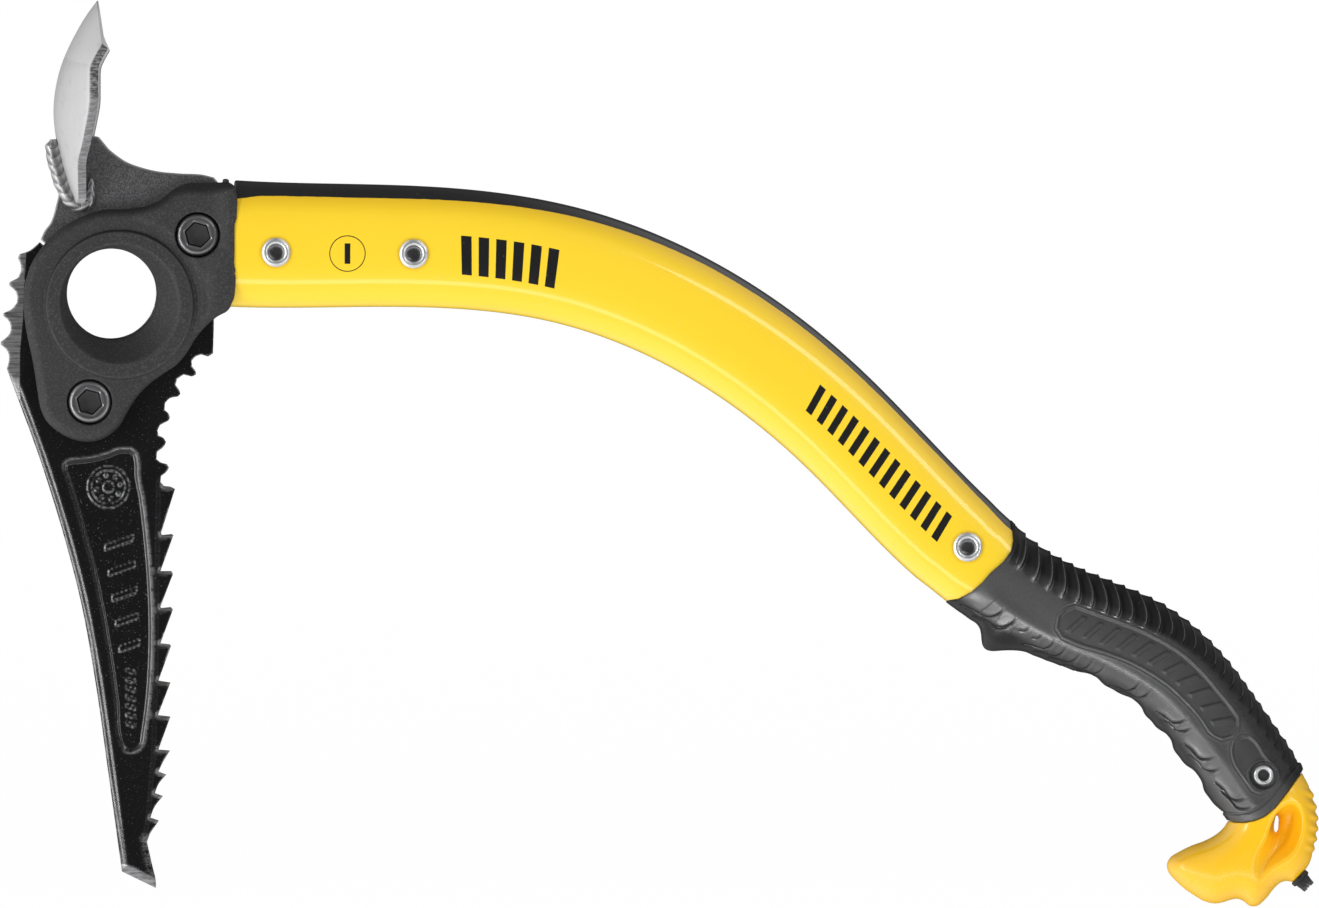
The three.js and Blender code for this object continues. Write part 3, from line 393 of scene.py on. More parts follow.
def blur(values, half, sigma):
    """Row of values smoothed by a bell that reaches half places each way."""
    weights = np.exp(-0.5 * (np.arange(-half, half + 1) / sigma) ** 2)
    return np.convolve(np.pad(values, half, "edge"), weights / weights.sum(), "valid")


# ------------------------------------------------------------------ mesh building
def link(name, data):
    ob = bpy.data.objects.new(name, data)
    bpy.context.scene.collection.objects.link(ob)
    return ob


def mesh(name, points, faces, attributes, sharp=None):
    """Object from drawing points; faces is a list of index arrays, one row a face."""
    x, y, z = points.T
    places = np.column_stack([(x + SHIFT_X) / 1000, y / 1000, (z + SHIFT_Z) / 1000])
    data = bpy.data.meshes.new(name)
    totals = np.concatenate([np.full(len(block), block.shape[1]) for block in faces])
    corners = np.concatenate([block.ravel() for block in faces])
    starts = np.concatenate([[0], np.cumsum(totals)[:-1]])
    data.vertices.add(len(places))
    data.vertices.foreach_set("co", places.astype(np.float32).ravel())
    data.loops.add(len(corners))
    data.loops.foreach_set("vertex_index", corners.astype(np.int32))
    data.polygons.add(len(totals))
    data.polygons.foreach_set("loop_start", starts.astype(np.int32))
    data.polygons.foreach_set("loop_total", totals.astype(np.int32))
    data.polygons.foreach_set("use_smooth", np.ones(len(totals), bool))
    for key, values in attributes.items():
        layer = data.attributes.new(key, "FLOAT", "POINT")
        layer.data.foreach_set("value", np.asarray(values, np.float32).ravel())
    data.update(calc_edges=True)
    data.validate()
    if sharp:
        data.set_sharp_from_angle(angle=math.radians(sharp))
    return link(name, data)


def outward(points, faces):
    """The faces, flipped if they enclose a negative volume."""
    volume = 0.0
    for block in faces:
        for k in range(1, block.shape[1] - 1):
            normals = np.cross(points[block[:, k]], points[block[:, k + 1]])
            volume += float(np.einsum("ij,ij->", points[block[:, 0]], normals))
    return [block[:, ::-1] for block in faces] if volume < 0 else faces


def grid_faces(rows, cols, wrap=False):
    """Quads between neighbouring rows of points, row-major."""
    i = np.arange(rows - 1)[:, None]
    j = np.arange(cols if wrap else cols - 1)[None, :]
    here = i * cols + j
    beside = i * cols + (j + 1) % cols
    return np.stack([here, beside, beside + cols, here + cols], -1).reshape(-1, 4)


def cap_ends(points, segments):
    """Close rows of ring points with a fan of triangles at each end."""
    total = len(points)
    k = np.arange(segments)
    after = (k + 1) % segments
    last = total - segments
    middle = np.full(segments, total)
    faces = [
        grid_faces(total // segments, segments, True),
        np.column_stack([after, k, middle]),
        np.column_stack([last + k, last + after, middle + 1]),
    ]
    ends = [points[:segments].mean(0), points[-segments:].mean(0)]
    points = np.concatenate([points, ends])
    return points, outward(points, faces)


def ring_numbers(rings, segments):
    """Ring number of every point that cap_ends returns."""
    return np.concatenate([np.repeat(np.arange(rings), segments), [0, rings - 1]])


def lathe(radii, heights, centre, side):
    """Rings about the Y axis through centre: radii has a row a ring, heights are |y|."""
    segments = radii.shape[1]
    angle = 2 * np.pi * np.arange(segments) / segments
    x = centre[0] + radii * np.cos(angle)
    y = side * heights[:, None] + 0 * radii
    z = centre[1] + radii * np.sin(angle)
    return cap_ends(np.stack([x, y, z], -1).reshape(-1, 3), segments)


def shell(outer_rows, inner_rows, cols):
    """Faces of a thick tube: outer skin, start rim, end rim, inner skin."""
    k = np.arange(cols)
    after = (k + 1) % cols
    inner = outer_rows * cols
    last = inner - cols
    inner_last = inner + (inner_rows - 1) * cols
    return [
        grid_faces(outer_rows, cols, True),
        np.column_stack([after, k, inner + k, inner + after]),
        np.column_stack([last + k, last + after, inner_last + after, inner_last + k]),
        grid_faces(inner_rows, cols, True)[:, ::-1] + inner,
    ]


def lattice(low, high, cell):
    """Grid coordinates along x, y and z."""
    counts = np.ceil((high - low) / cell).astype(int) + 1
    return [start + cell * np.arange(count) for start, count in zip(low, counts)]


def surface_nets(field, low, cell):
    """Closed quad mesh of field = 0, negative inside, on a regular grid."""
    inside = field < 0
    cells = np.array(field.shape) - 1
    corners = [(i, j, k) for i in (0, 1) for j in (0, 1) for k in (0, 1)]
    filled = np.zeros(cells, np.int8)
    for i, j, k in corners:
        filled += inside[i : i + cells[0], j : j + cells[1], k : k + cells[2]]
    active = (filled > 0) & (filled < 8)
    found = np.argwhere(active)
    ids = np.full(cells, -1, np.int64)
    ids[active] = np.arange(len(found))
    values = {corner: field[tuple((found + corner).T)] for corner in corners}
    # each active cell gets the mean of the crossings on its edges
    total, crossings = np.zeros((len(found), 3)), np.zeros(len(found))
    for corner in corners:
        for axis in range(3):
            if corner[axis]:
                continue
            far = list(corner)
            far[axis] = 1
            start, end = values[corner], values[tuple(far)]
            crossed = (start < 0) != (end < 0)
            part = np.where(crossed, start / np.where(crossed, start - end, 1), 0)
            total += crossed[:, None] * (corner + part[:, None] * np.eye(3)[axis])
            crossings += crossed
    points = low + (found + total / crossings[:, None]) * cell
    quads = []
    for axis in range(3):
        second, third = (axis + 1) % 3, (axis + 2) % 3
        lower = np.take(inside, np.arange(cells[axis]), axis)
        upper = np.take(inside, np.arange(cells[axis]) + 1, axis)
        cut = np.argwhere(lower != upper)
        for other in (second, third):
            cut = cut[(cut[:, other] > 0) & (cut[:, other] < cells[other])]
        around = []
        for step_second, step_third in ((-1, -1), (0, -1), (0, 0), (-1, 0)):
            shifted = cut.copy()
            shifted[:, second] += step_second
            shifted[:, third] += step_third
            around.append(ids[tuple(shifted.T)])
        block = np.stack(around, 1)
        entering = ~lower[tuple(cut.T)]
        block[entering] = block[entering][:, ::-1]
        quads.append(block)
    return points, np.concatenate(quads)


def relief(outline, height, holes, rings, grid, lines=()):
    """Plate whose two faces stand at y = -+height(x, z, depth).

    rings are the insets of extra rows of points along the edges, grid the spacing between
    them, lines closed loops the faces must follow; all loops run counter-clockwise.
    Returns points, faces and the x, z and edge distance of every point.
    """

    def depth(x, z):
        walls = [-outside(outline, x, z)] + [outside(hole, x, z) for hole in holes]
        return np.minimum.reduce(walls)

    borders = [outline, *holes]
    fixed = borders + [line for line in lines if depth(*line.T).min() > 0.3]
    edges = []
    for loop in fixed:
        first, count = len(edges), len(loop)
        edges += [(first + i, first + (i + 1) % count) for i in range(count)]
    free = []
    for loop in borders:
        side = 1 if loop is outline else -1
        for ring in rings:
            row = inset(loop, side * ring)
            free.append(row[depth(*row.T) > ring * 0.93])
    low, high = outline.min(0), outline.max(0)
    grid_z = np.arange(low[1], high[1], grid * 0.866)
    x, z = np.meshgrid(np.arange(low[0], high[0], grid), grid_z)
    x = x + (np.arange(len(grid_z))[:, None] % 2) * grid * 0.5
    field = np.column_stack([x.ravel(), z.ravel()])
    field = field[depth(*field.T) > max(rings) + 0.4 * grid]
    for line in lines:
        field = field[gap(line, *field.T, closed=True) > 0.4 * grid]
    seeds = np.concatenate([*fixed, *free, field])
    result = delaunay_2d_cdt([Vector(p) for p in seeds.tolist()], edges, [], 0, 1e-4)
    flat = np.array([tuple(v) for v in result[0]])
    tris = np.array([face for face in result[2] if len(face) == 3], np.int64)
    tris = tris[depth(*flat[tris].mean(1).T) > 0]
    first, second, third = (flat[tris[:, k]] for k in range(3))
    one, two = second - first, third - first
    area = one[:, 0] * two[:, 1] - two[:, 0] * one[:, 1]
    tris[area < 0] = tris[area < 0][:, ::-1]
    tris = tris[np.abs(area) > 1e-9]
    used = np.unique(tris)
    remap = np.full(len(flat), -1)
    remap[used] = np.arange(len(used))
    flat, tris = flat[used], remap[tris]
    count = len(flat)
    x, z = flat.T
    inner = np.maximum(depth(x, z), 0)
    y = height(x, z, inner)
    points = np.concatenate([np.column_stack([x, -y, z]), np.column_stack([x, y, z])])
    # edges without a twin are the border, closed by walls
    sides = np.concatenate([tris[:, [0, 1]], tris[:, [1, 2]], tris[:, [2, 0]]])
    start, end = sides.T
    border = ~np.isin(start * count + end, end * count + start)
    start, end = start[border], end[border]
    walls = np.column_stack([start, start + count, end + count, end])
    info = [np.tile(values, 2) for values in (x, z, inner)]
    return points, [tris, tris[:, ::-1] + count, walls], info


# ------------------------------------------------------------ shaft centre line
AXIS_S, AXIS_X, AXIS_Z, AXIS_HALF = AXIS.T
AXIS_DIR = unit(np.gradient(AXIS[:, 1:3], AXIS_S, axis=0))


def around_axis(s, r, y):
    """Points at arc length s and distance r from the centre line, straight on past its ends."""
    inner = np.clip(s, AXIS_S[0], AXIS_S[-1])
    i = np.clip(np.searchsorted(AXIS_S, inner) - 1, 0, len(AXIS_S) - 2)
    span = AXIS_S[i + 1] - AXIS_S[i]
    u = (inner - AXIS_S[i]) / span
    start, start_slope, end, end_slope = hermite(u)
    centre, along = [], []
    for places, slope in ((AXIS_X, AXIS_DIR[:, 0]), (AXIS_Z, AXIS_DIR[:, 1])):
        centre.append(
            start * places[i]
            + start_slope * span * slope[i]
            + end * places[i + 1]
            + end_slope * span * slope[i + 1]
        )
        along.append(slope[i] * (1 - u) + slope[i + 1] * u)
    length = np.hypot(*along)
    along_x, along_z = along[0] / length, along[1] / length
    x = centre[0] + (s - inner) * along_x
    z = centre[1] + (s - inner) * along_z
    return np.stack([x - along_z * r, y, z + along_x * r], -1)


def oval(count, half_r, half_y, power_r, power_y):
    """Unit y and r of a super-ellipse, evenly spaced once scaled to the half sizes."""

    def place(angle):
        cos, sin = np.cos(angle), np.sin(angle)
        y = np.sign(cos) * np.abs(cos) ** (2 / power_y)
        return y, np.sign(sin) * np.abs(sin) ** (2 / power_r)

    angle = np.linspace(0, 2 * np.pi, 4001)
    y, r = place(angle)
    length = run_length(np.column_stack([half_y * y, half_r * r]))
    return place(np.interp(np.arange(count) * length[-1] / count, length, angle))


# ---------------------------------------------------------- forged head body
def head_body():
    cell = 0.42
    low, high = np.array([-32.6, -13.6, -52.2]), np.array([45.6, 13.6, 43.4])
    x, y, z = lattice(low, high, cell)
    x, z = np.meshgrid(x, z, indexing="ij")
    cheek = smooth_loop(CHEEK, 0.7)
    edge = outside(cheek, x, z)
    ring = radius(x, z, RING_AT)
    # height of the outer face, with the collar and the ring standing proud
    rise = 1.4 * ramp(3.6, -3.6, outside(ccw(COLLAR), x, z))
    rise = rise + 1.3 * ramp(28.4, 31.6, ring) * ramp(4, 16, x) * ramp(-15, -5, z)
    face = smax(9.2 + rise, 9.2 + 1.75 * ramp(RING_R + 0.25, RING_R - 0.55, ring), 0.3)
    face = face - 0.25 * bell(ring - RING_R - 0.9, 0.7) * ramp(5, 12, x)
    # rounding of the edge, wider at the top
    soft = 3.7 + 2.6 * np.exp(-(((x - 30) / 11) ** 2 + ((z - 41) / 7) ** 2))
    soft = soft - 2.4 * ramp(38.5, 43, x) - 1.0 * ramp(-20, -28, x) * ramp(-12, 4, z)
    y = np.abs(y)[None, :, None]
    x, z, edge, face, soft = (grid[:, None, :] for grid in (x, z, edge, face, soft))
    over_edge, over_face = edge + soft, y - face + soft
    body = np.minimum(np.maximum(over_edge, over_face), 0) - soft + np.hypot(
        np.maximum(over_edge, 0), np.maximum(over_face, 0)
    )
    # bore and the skewed funnel into it
    body = smax(body, HOLE_R - radius(x, z, HOLE_AT), 0.6)
    part = np.clip((y - FUNNEL_Y) / (11 - FUNNEL_Y), -0.2, 1.2)
    centre = [hole + part * (mouth - hole) for hole, mouth in zip(HOLE_AT, RING_AT)]
    cone = (HOLE_R + 0.2 + part * (FUNNEL_R - HOLE_R - 0.2)) - radius(x, z, centre)
    body = smax(body, 0.75 * cone, 0.7)
    # slot for the two plates
    body = smax(body, -smax(y - 2.3, x - 38.2, 0.4), 0.5)
    # seats and holes for the bolts
    for bolt_at in BOLTS.values():
        around = radius(x, z, bolt_at)
        body = smax(body, -np.maximum(around - 7.9, 5.5 - y), 0.6)
        body = smax(body, 4.3 - around, 0.3)
    # web between the cheeks near the top
    web = np.maximum(np.maximum(np.abs(x - 39.5) - 1.0, np.abs(z - 36) - 5.3), y - 7.5)
    body = -smax(-body, -web, 0.5)
    # room for the shaft
    half_y = 11.25 * np.clip(1 - (np.abs(z - AXIS_Z[0]) / 22.6) ** 3, 0, 1) ** (1 / 2.1)
    body = smax(body, -np.maximum(y - half_y, 41.3 - x), 0.5)
    points, quads = surface_nets(body, low, cell)
    x, y, z = points.T
    ring = radius(x, z, RING_AT)
    proud = ramp(10.2, 10.7, np.abs(y))
    # crest edges of the raised ring; the material paints them lighter as a highlight
    rim = np.maximum(bell(ring - RING_R + 0.5, 0.5) * proud, bell(ring - FUNNEL_R, 0.5) * proud)
    attributes = {"d": -outside(cheek, x, z), "rim": rim, "joint": bell(x - 43.6, 0.9)}
    return mesh("forged_head", points, [quads], attributes)


# ----------------------------------------------------------- bolts and rivets
def bolt(name, centre, side, half_flats):
    """Round head with a hexagonal socket; half_flats is from its middle to a flat."""
    segments = 144
    top = 9.35
    socket = 11  # first ring of the hexagon; its radii are parts of half_flats
    profile = np.array([
        (0.6, 5.75), (6.9, 5.75), (7.25, 5.95), (7.35, 6.3), (7.35, 8.3), (7.28, 8.6),
        (6.7, 9.1), (6.45, 9.22), (6.1, top), (5.55, top), (5.3, top - 0.06),
        (1.09, top - 0.1), (1.03, top - 0.32), (1.0, top - 0.5), (1.0, top - 1.4),
        (1.0, top - 3.4), (0.96, top - 3.55), (0.6, top - 3.9), (0.25, top - 4.1),
    ])
    angle = 2 * np.pi * np.arange(segments) / segments
    radii = np.repeat(profile[:, :1], segments, 1)
    radii[socket:] *= half_flats / np.cos((angle + 0.26) % (np.pi / 3) - np.pi / 6)
    points, faces = lathe(radii, profile[:, 1], centre, side)
    ring = ring_numbers(len(profile), segments)
    # deep is the socket's inside, painted dark as shade; edge is the chamfer and socket rim,
    # painted lighter as a highlight
    attributes = {"deep": ring >= socket + 2, "edge": np.isin(ring, [6, 7, 8, 11, 12])}
    return mesh(name, points, faces, attributes, sharp=38)


def rivet(name, x, z, seat, outer, side):
    """Rolled tube rivet: a flange round a blind bore."""
    segments = 96
    face = seat + 0.12
    bore = outer * 0.54
    wall = outer - bore
    profile = np.array([
        (0.2, face - 4.6), (bore + 0.3, face - 4.6), (bore + 0.5, face - 0.05),
        (outer - 0.35, face), (outer - 0.08, face + 0.08), (outer, face + 0.26),
        (outer - 0.06 * wall, face + 0.48), (outer - 0.17 * wall, face + 0.72),
        (outer - 0.32 * wall, face + 0.92), (outer - 0.48 * wall, face + 1.02),
        (outer - 0.62 * wall, face + 1.0), (outer - 0.76 * wall, face + 0.86),
        (bore + 0.12 * wall, face + 0.62), (bore + 0.03 * wall, face + 0.3),
        (bore, face - 0.3), (bore - 0.05, face - 1.6), (bore - 0.1, face - 3.0),
        (0.8 * bore, face - 3.2), (0.5 * bore, face - 3.25), (0.12 * bore, face - 3.3),
    ])
    radii = np.repeat(profile[:, :1], segments, 1)
    points, faces = lathe(radii, profile[:, 1], (x, z), side)
    # the bore, painted darker in the material as shade
    deep = ramp(13, 16, ring_numbers(len(profile), segments))
    return mesh(name, points, faces, {"deep": deep}, sharp=50)


# ------------------------------------------------------------------ the pick
SPINE = PICK[23:30]  # long edge on the low X side
TIP = PICK[30:32]
PICK_LOOP = smooth_loop(np.delete(PICK, 29, 0), 0.6)
POCKET_LOOP = smooth_loop(POCKET, 0.8)
# short, nearly level edges below the teeth of the pick
TEETH = [
    np.array([start, end])
    for start, end in zip(PICK, np.roll(PICK, -1, 0))
    if 12.5 < min(start[0], end[0]) and max(start[0], end[0]) < 22 and start[1] < -60
    and abs(start[1] - end[1]) < 1.25 and abs(start[0] - end[0]) > 2.0
]
# bounds the ground teeth on the low X side of the head
REAR = table("-29.5 22, -30.6 8, -31.15 -7.35, -32.2 -18.55, -32.3 -30.8, -31.9 -36")
ROUGH = table("11.3 -189.5, 12.2 -193, 15.2 -206")
ROOTS = table("16 -64, 15.4 -100, 15 -135, 14.2 -160, 12.4 -182, 10.6 -192")


def pick_marks(x, z):
    """Height, 0 to 1, of the raised marks in the pocket: ring, discs and slanted bars."""
    centre_x, centre_z = -1.6, -66.5
    around = radius(x, z, (centre_x, centre_z))
    marks = [ramp(1.0, 0.55, np.abs(around - 6.6)), ramp(2.2, 1.6, around)]
    for k in range(8):
        angle = k * math.pi / 4 + 0.2
        spot = (centre_x + 4.2 * math.cos(angle), centre_z + 4.2 * math.sin(angle))
        marks.append(ramp(0.85, 0.45, radius(x, z, spot)))
    for k in range(5):
        across = x - (2.2 + 0.9 * k)
        up = z - (-86.0 - 9.0 * k) - 0.35 * across
        width = ramp(5.2 - 0.35 * k, 4.8 - 0.35 * k, np.abs(across))
        marks.append(ramp(1.25, 0.85, np.abs(up)) * width)
    for k in range(7):
        across = x - 6.2
        up = z - (-131.0 - 3.1 * k) + 0.3 * across
        marks.append(ramp(0.85, 0.5, np.abs(up)) * ramp(1.9, 1.5, np.abs(across)))
    return np.maximum.reduce(marks)


def tooth_gap(x, z):
    return np.minimum.reduce([gap(tooth, x, z) for tooth in TEETH])


def rear_reach(x, z):
    """How far points lie on the low X side of the REAR line."""
    return np.maximum(np.interp(-z, -REAR[:, 1], REAR[:, 0], left=-99, right=-99) - x, 0)


def pick_height(x, z, depth):
    pocket = outside(POCKET_LOOP, x, z)
    height = 2.0 - 0.85 * ramp(0.0, -2.0, pocket)
    height += 0.30 * bell(pocket - 0.15, 0.35)
    height += 0.5 * pick_marks(x, z) * ramp(-1.6, -2.2, pocket)
    # bevels along the spine, at the tip, under the teeth and at the rear
    spine = gap(SPINE, x, z)
    bevel = 0.78 * np.clip((3.0 - spine) / 1.6, 0, 1) + 0.22 * np.clip((1.4 - spine) / 1.4, 0, 1)
    height = np.minimum(height, 2.0 - ramp(-24, -34, z) * bevel)
    tip = gap(TIP, x, z)
    height = np.minimum(height, 0.35 + 1.75 * np.clip(tip / 2.9, 0, 1) + 10 * (tip > 3.2))
    height = np.minimum(height, 1.0 + 1.05 * np.clip(tooth_gap(x, z) / 1.25, 0, 1))
    height = np.minimum(height, 2.0 - 0.12 * np.clip(rear_reach(x, z) / 0.5, 0, 1))
    height -= 0.28 * np.clip(1 - depth / 0.4, 0, 1)
    return np.maximum(height, 0.2)


def pick():
    angle = np.linspace(0, 2 * np.pi, 120, endpoint=False)
    hole = np.column_stack([
        HOLE_AT[0] - 0.45 + 15.95 * np.cos(angle),
        HOLE_AT[1] + 0.45 + 15.95 * np.sin(angle),
    ])
    lines = [inset(POCKET_LOOP, distance) for distance in (0, 2.0, 1.0, 0.5, 1.5)]
    rings = (0.2, 0.42, 1.35, 2.2, 3.05)
    points, faces, (x, z, depth) = relief(PICK_LOOP, pick_height, [hole], rings, 0.62, lines)
    pocket = outside(POCKET_LOOP, x, z)
    marks = pick_marks(x, z)
    # painted highlight: the lit right and top walls of the pocket and the edges of the marks get
    # bare steel colour
    mark_edge = np.clip(4 * marks * (1 - marks), 0, 1) * ramp(-1.6, -2.2, pocket)
    lit_rim = np.clip(ramp(2, 9, x) + 0.7 * ramp(-62, -57, z) + 0.08, 0, 1)
    attributes = {
        "edge": depth,
        "pocket": pocket,
        "spine": gap(SPINE, x, z),
        "bare": np.maximum(ramp(1.5, 0.8, tooth_gap(x, z)), ramp(3.3, 2.7, gap(TIP, x, z))),
        "rear": rear_reach(x, z),
        "rough": ramp(2.6, 0.5, gap(ROUGH, x, z)),
        "root": gap(ROOTS, x, z),
        "painted_glint": np.maximum(bell(pocket - 0.1, 0.32) * lit_rim, 0.75 * mark_edge),
    }
    return mesh("pick_plate", points, faces, attributes, sharp=32)


# ------------------------------------------------------------- adze, welds
def adze_plate():
    def height(x, z, depth):
        bevel = 0.55 * np.clip(1 - depth / 0.8, 0, 1) * ramp(38, 44, z)
        return 2.0 - bevel - 0.3 * np.clip(1 - depth / 0.4, 0, 1)

    outline = smooth_loop(ADZE_PLATE, 0.6)
    points, faces, (_, _, depth) = relief(outline, height, [], (0.25, 0.5, 0.9), 1.3)
    return mesh("adze_plate_steel", points, faces, {"edge": depth}, sharp=30)


def stations(points, rows):
    """Smooth line with the listed points evenly spread over its rows."""
    place = np.linspace(0, len(points) - 1, rows)
    slope = np.gradient(points, axis=0)
    i = np.clip(place.astype(int), 0, len(points) - 2)
    start, start_slope, end, end_slope = hermite((place - i)[:, None])
    line = start * points[i] + start_slope * slope[i]
    return line + end * points[i + 1] + end_slope * slope[i + 1]


def blade():
    """Blade curved across its width, closed by its two skins and four edge strips."""
    rows, cols = 90, 61
    thickness = 2.9
    chamfer = 0.35
    half_arc = 0.95
    up = np.linspace(0, 1, rows)
    across = np.linspace(-1, 1, cols)
    middle, side = stations(BLADE_MIDDLE, rows), stations(BLADE_SIDE, rows)
    width = np.interp(
        np.linspace(0, len(BLADE_WIDTH) - 1, rows), np.arange(len(BLADE_WIDTH)), BLADE_WIDTH
    )
    bend = (1 - np.cos(across * half_arc)) / (1 - math.cos(half_arc))
    x = middle[:, :1] + (side[:, :1] - middle[:, :1]) * bend
    z = middle[:, 1:] + (side[:, 1:] - middle[:, 1:]) * bend
    y = width[:, None] * (np.sin(across * half_arc) / math.sin(half_arc))
    # ground thin at the cutting edge
    thick = thickness * (1 - 0.86 * ramp(0.9, 1.0, up[:, None]))
    outer = np.stack([x + chamfer * (np.abs(across) > 0.999), y, z], -1)
    outer[:, 0, 1] += chamfer * 0.6
    outer[:, -1, 1] -= chamfer * 0.6
    inner = np.stack([x + thick, y * (1 - 0.04 * np.abs(across)), z], -1)
    points = np.concatenate([outer.reshape(-1, 3), inner.reshape(-1, 3)])
    skin = rows * cols
    front = grid_faces(rows, cols)
    left = np.arange(rows - 1) * cols
    right = left + cols - 1
    foot = np.arange(cols - 1)
    tip = (rows - 1) * cols + foot
    faces = [
        front,
        front[:, ::-1] + skin,
        np.column_stack([left, left + cols, skin + left + cols, skin + left]),
        np.column_stack([right, skin + right, skin + right + cols, right + cols]),
        np.column_stack([foot, skin + foot, skin + foot + 1, foot + 1]),
        np.column_stack([tip, tip + 1, skin + tip + 1, skin + tip]),
    ]
    attributes = {
        "across": np.tile(np.abs(across), 2 * rows),
        "up": np.tile(np.repeat(up, cols), 2),
        "inner": np.repeat([0.0, 1.0], skin),
    }
    return mesh("adze_blade_steel", points, outward(points, faces), attributes, sharp=28)


WELD_PATH = table("""
-20.9 55.2, -20.7 51, -19.7 46.5, -18.4 42, -16.7 37.6, -14.3 34, -11.3 32.2, -8.6 33.4,
-7.7 37, -7.5 41.5""")


def weld(name, side):
    """Rippled weld bead in the corner of blade and plate, turning round the blade's foot."""
    segments = 40
    pitch = 3.3
    path = curve(WELD_PATH, 0.16, closed=False, corner=80)
    length = run_length(path)
    along = unit(np.gradient(path, axis=0))
    angle = 2 * np.pi * np.arange(segments) / segments
    cos, sin = np.cos(angle)[None, :], np.sin(angle)[None, :]
    taper = ramp(0, 2.5, length) * ramp(length[-1], length[-1] - 6, length)
    width = (2.75 * (1 - 0.45 * ramp(24, 32, length))) * (0.35 + 0.65 * taper)
    # ripples lag behind at the sides, which gives the chevrons
    phase = (length[:, None] + 2.3 * cos**2) / pitch
    phase = phase - np.floor(phase)
    ripple = 0.24 * np.sin(np.pi * np.clip(phase, 0, 1) ** 0.6) - 0.08
    bead = width[:, None] + ripple + 0.12 * np.sin(length * 0.9 + 1.0)[:, None]
    x = path[:, :1] - along[:, 1:] * (bead * cos)
    z = path[:, 1:] + along[:, :1] * (bead * cos)
    y = side * (3.3 + bead * sin * 0.8)
    points, faces = cap_ends(np.stack([x, y, z], -1).reshape(-1, 3), segments)
    ripple_phase = np.concatenate([phase.ravel(), [0, 0]])
    return mesh(name, points, faces, {"ripple": ripple_phase}, sharp=55)


# ---------------------------------------------------------------- shaft tube
def shaft():
    cols = 200
    wall = 1.3
    unit_y, unit_r = oval(cols, 22.0, 11.0, 3.0, 2.1)
    s = np.concatenate([
        [-0.45, -0.3, 0.0, 0.5], np.arange(2.0, 290, 2.0), np.arange(290, 424, 4.0)
    ])
    for rivet_s in (15.2, 63.3, 291.1):  # finer rows at the rivets
        fine = np.arange(rivet_s - 6, rivet_s + 6.01, 0.5)
        s = np.concatenate([s[np.abs(s - rivet_s) > 6.5], fine])
    s = np.sort(s)
    rows = len(s)
    half = np.interp(s, AXIS_S, AXIS_HALF)
    under = ramp(284, 292, s)  # where the tube passes under the grip
    back = half * (1 - under) + under * lookup(TUBE_BACK, s)
    belly = half * (1 - under) + under * lookup(TUBE_BELLY, s)
    shrink = 1 - lookup(TUBE_ROUNDING, s)[:, None] / 15
    r = np.where(unit_r[None, :] > 0, back[:, None], belly[:, None]) * unit_r[None, :] * shrink
    y = lookup(TUBE_WIDTH, s)[:, None] * unit_y[None, :] * shrink
    thin = 1 - wall / np.hypot(r, y)
    outer = around_axis(s[:, None], r, y)
    inner = around_axis(s[:, None], r * thin, y * thin)
    # pressed-in seats under the rivets
    for skin in (outer, inner):
        for rivet_at in RIVETS[:3]:
            around = radius(skin[..., 0], skin[..., 2], rivet_at)
            flat = np.abs(skin[..., 1]) > 6
            skin[..., 1] -= np.sign(skin[..., 1]) * 5.6 * ramp(3.6, 3.15, around) * flat
    points = np.concatenate([outer.reshape(-1, 3), inner.reshape(-1, 3)])
    skin_faces, start_rim, end_rim, bore = shell(rows, rows, cols)
    faces = outward(points, [skin_faces, bore, start_rim, end_rim])
    count = rows * cols
    all_s, all_r = np.repeat(s, cols), r.ravel()
    near_rivet = np.full(count, 50.0)
    for rivet_at in RIVETS[:3]:
        around = radius(outer[..., 0], outer[..., 2], rivet_at).ravel()
        near_rivet = np.minimum(near_rivet, around)
    band = all_r - lookup(PAINT, all_s)
    attributes = {
        "s": np.tile(all_s, 2),
        "r": np.tile(all_r, 2),
        "band": np.concatenate([band, np.full(count, -9.0)]),
        "inside": np.repeat([0.0, 1.0], count),
        "rivet": np.tile(near_rivet, 2),
    }
    return mesh("shaft_lacquered", points, faces, attributes, sharp=60)


# ---------------------------------------------------------------- the grip
LONG_LOOP = smooth_loop(LONG_PANEL, 0.8)
SHORT_LOOP = smooth_loop(SHORT_PANEL, 0.8)


def grip_ribs(s, r):
    """Profile of the overlapping ribs on the back."""
    rib_back = lookup(BACK, RIB_TOP)
    lines = []
    for top, back, (end_s, end_r) in zip(RIB_TOP, rib_back, RIB_END):
        part = np.clip((back - r) / (back - end_r), 0, 1.15)
        bow = 0.9 * np.sin(np.pi * np.clip(part, 0, 1))
        lines.append(top + (end_s - top) * (1.35 * part - 0.35 * part**3) + bow)
    lines.insert(0, 2 * lines[0] - lines[1])
    ribs = np.zeros_like(s)
    for upper, lower in zip(lines, lines[1:]):
        part = (s - upper) / np.maximum(lower - upper, 0.5)
        rise = (np.clip(part, 0, 1) / 0.88) ** 1.5
        profile = np.where(part < 0.88, rise, 1 - (part - 0.88) / 0.12)
        profile = profile * 1.05 - 0.30 + 0.18 * bell(part - 0.85, 0.05)
        ribs = np.where((part >= 0) & (part < 1), profile, ribs)
    return ribs


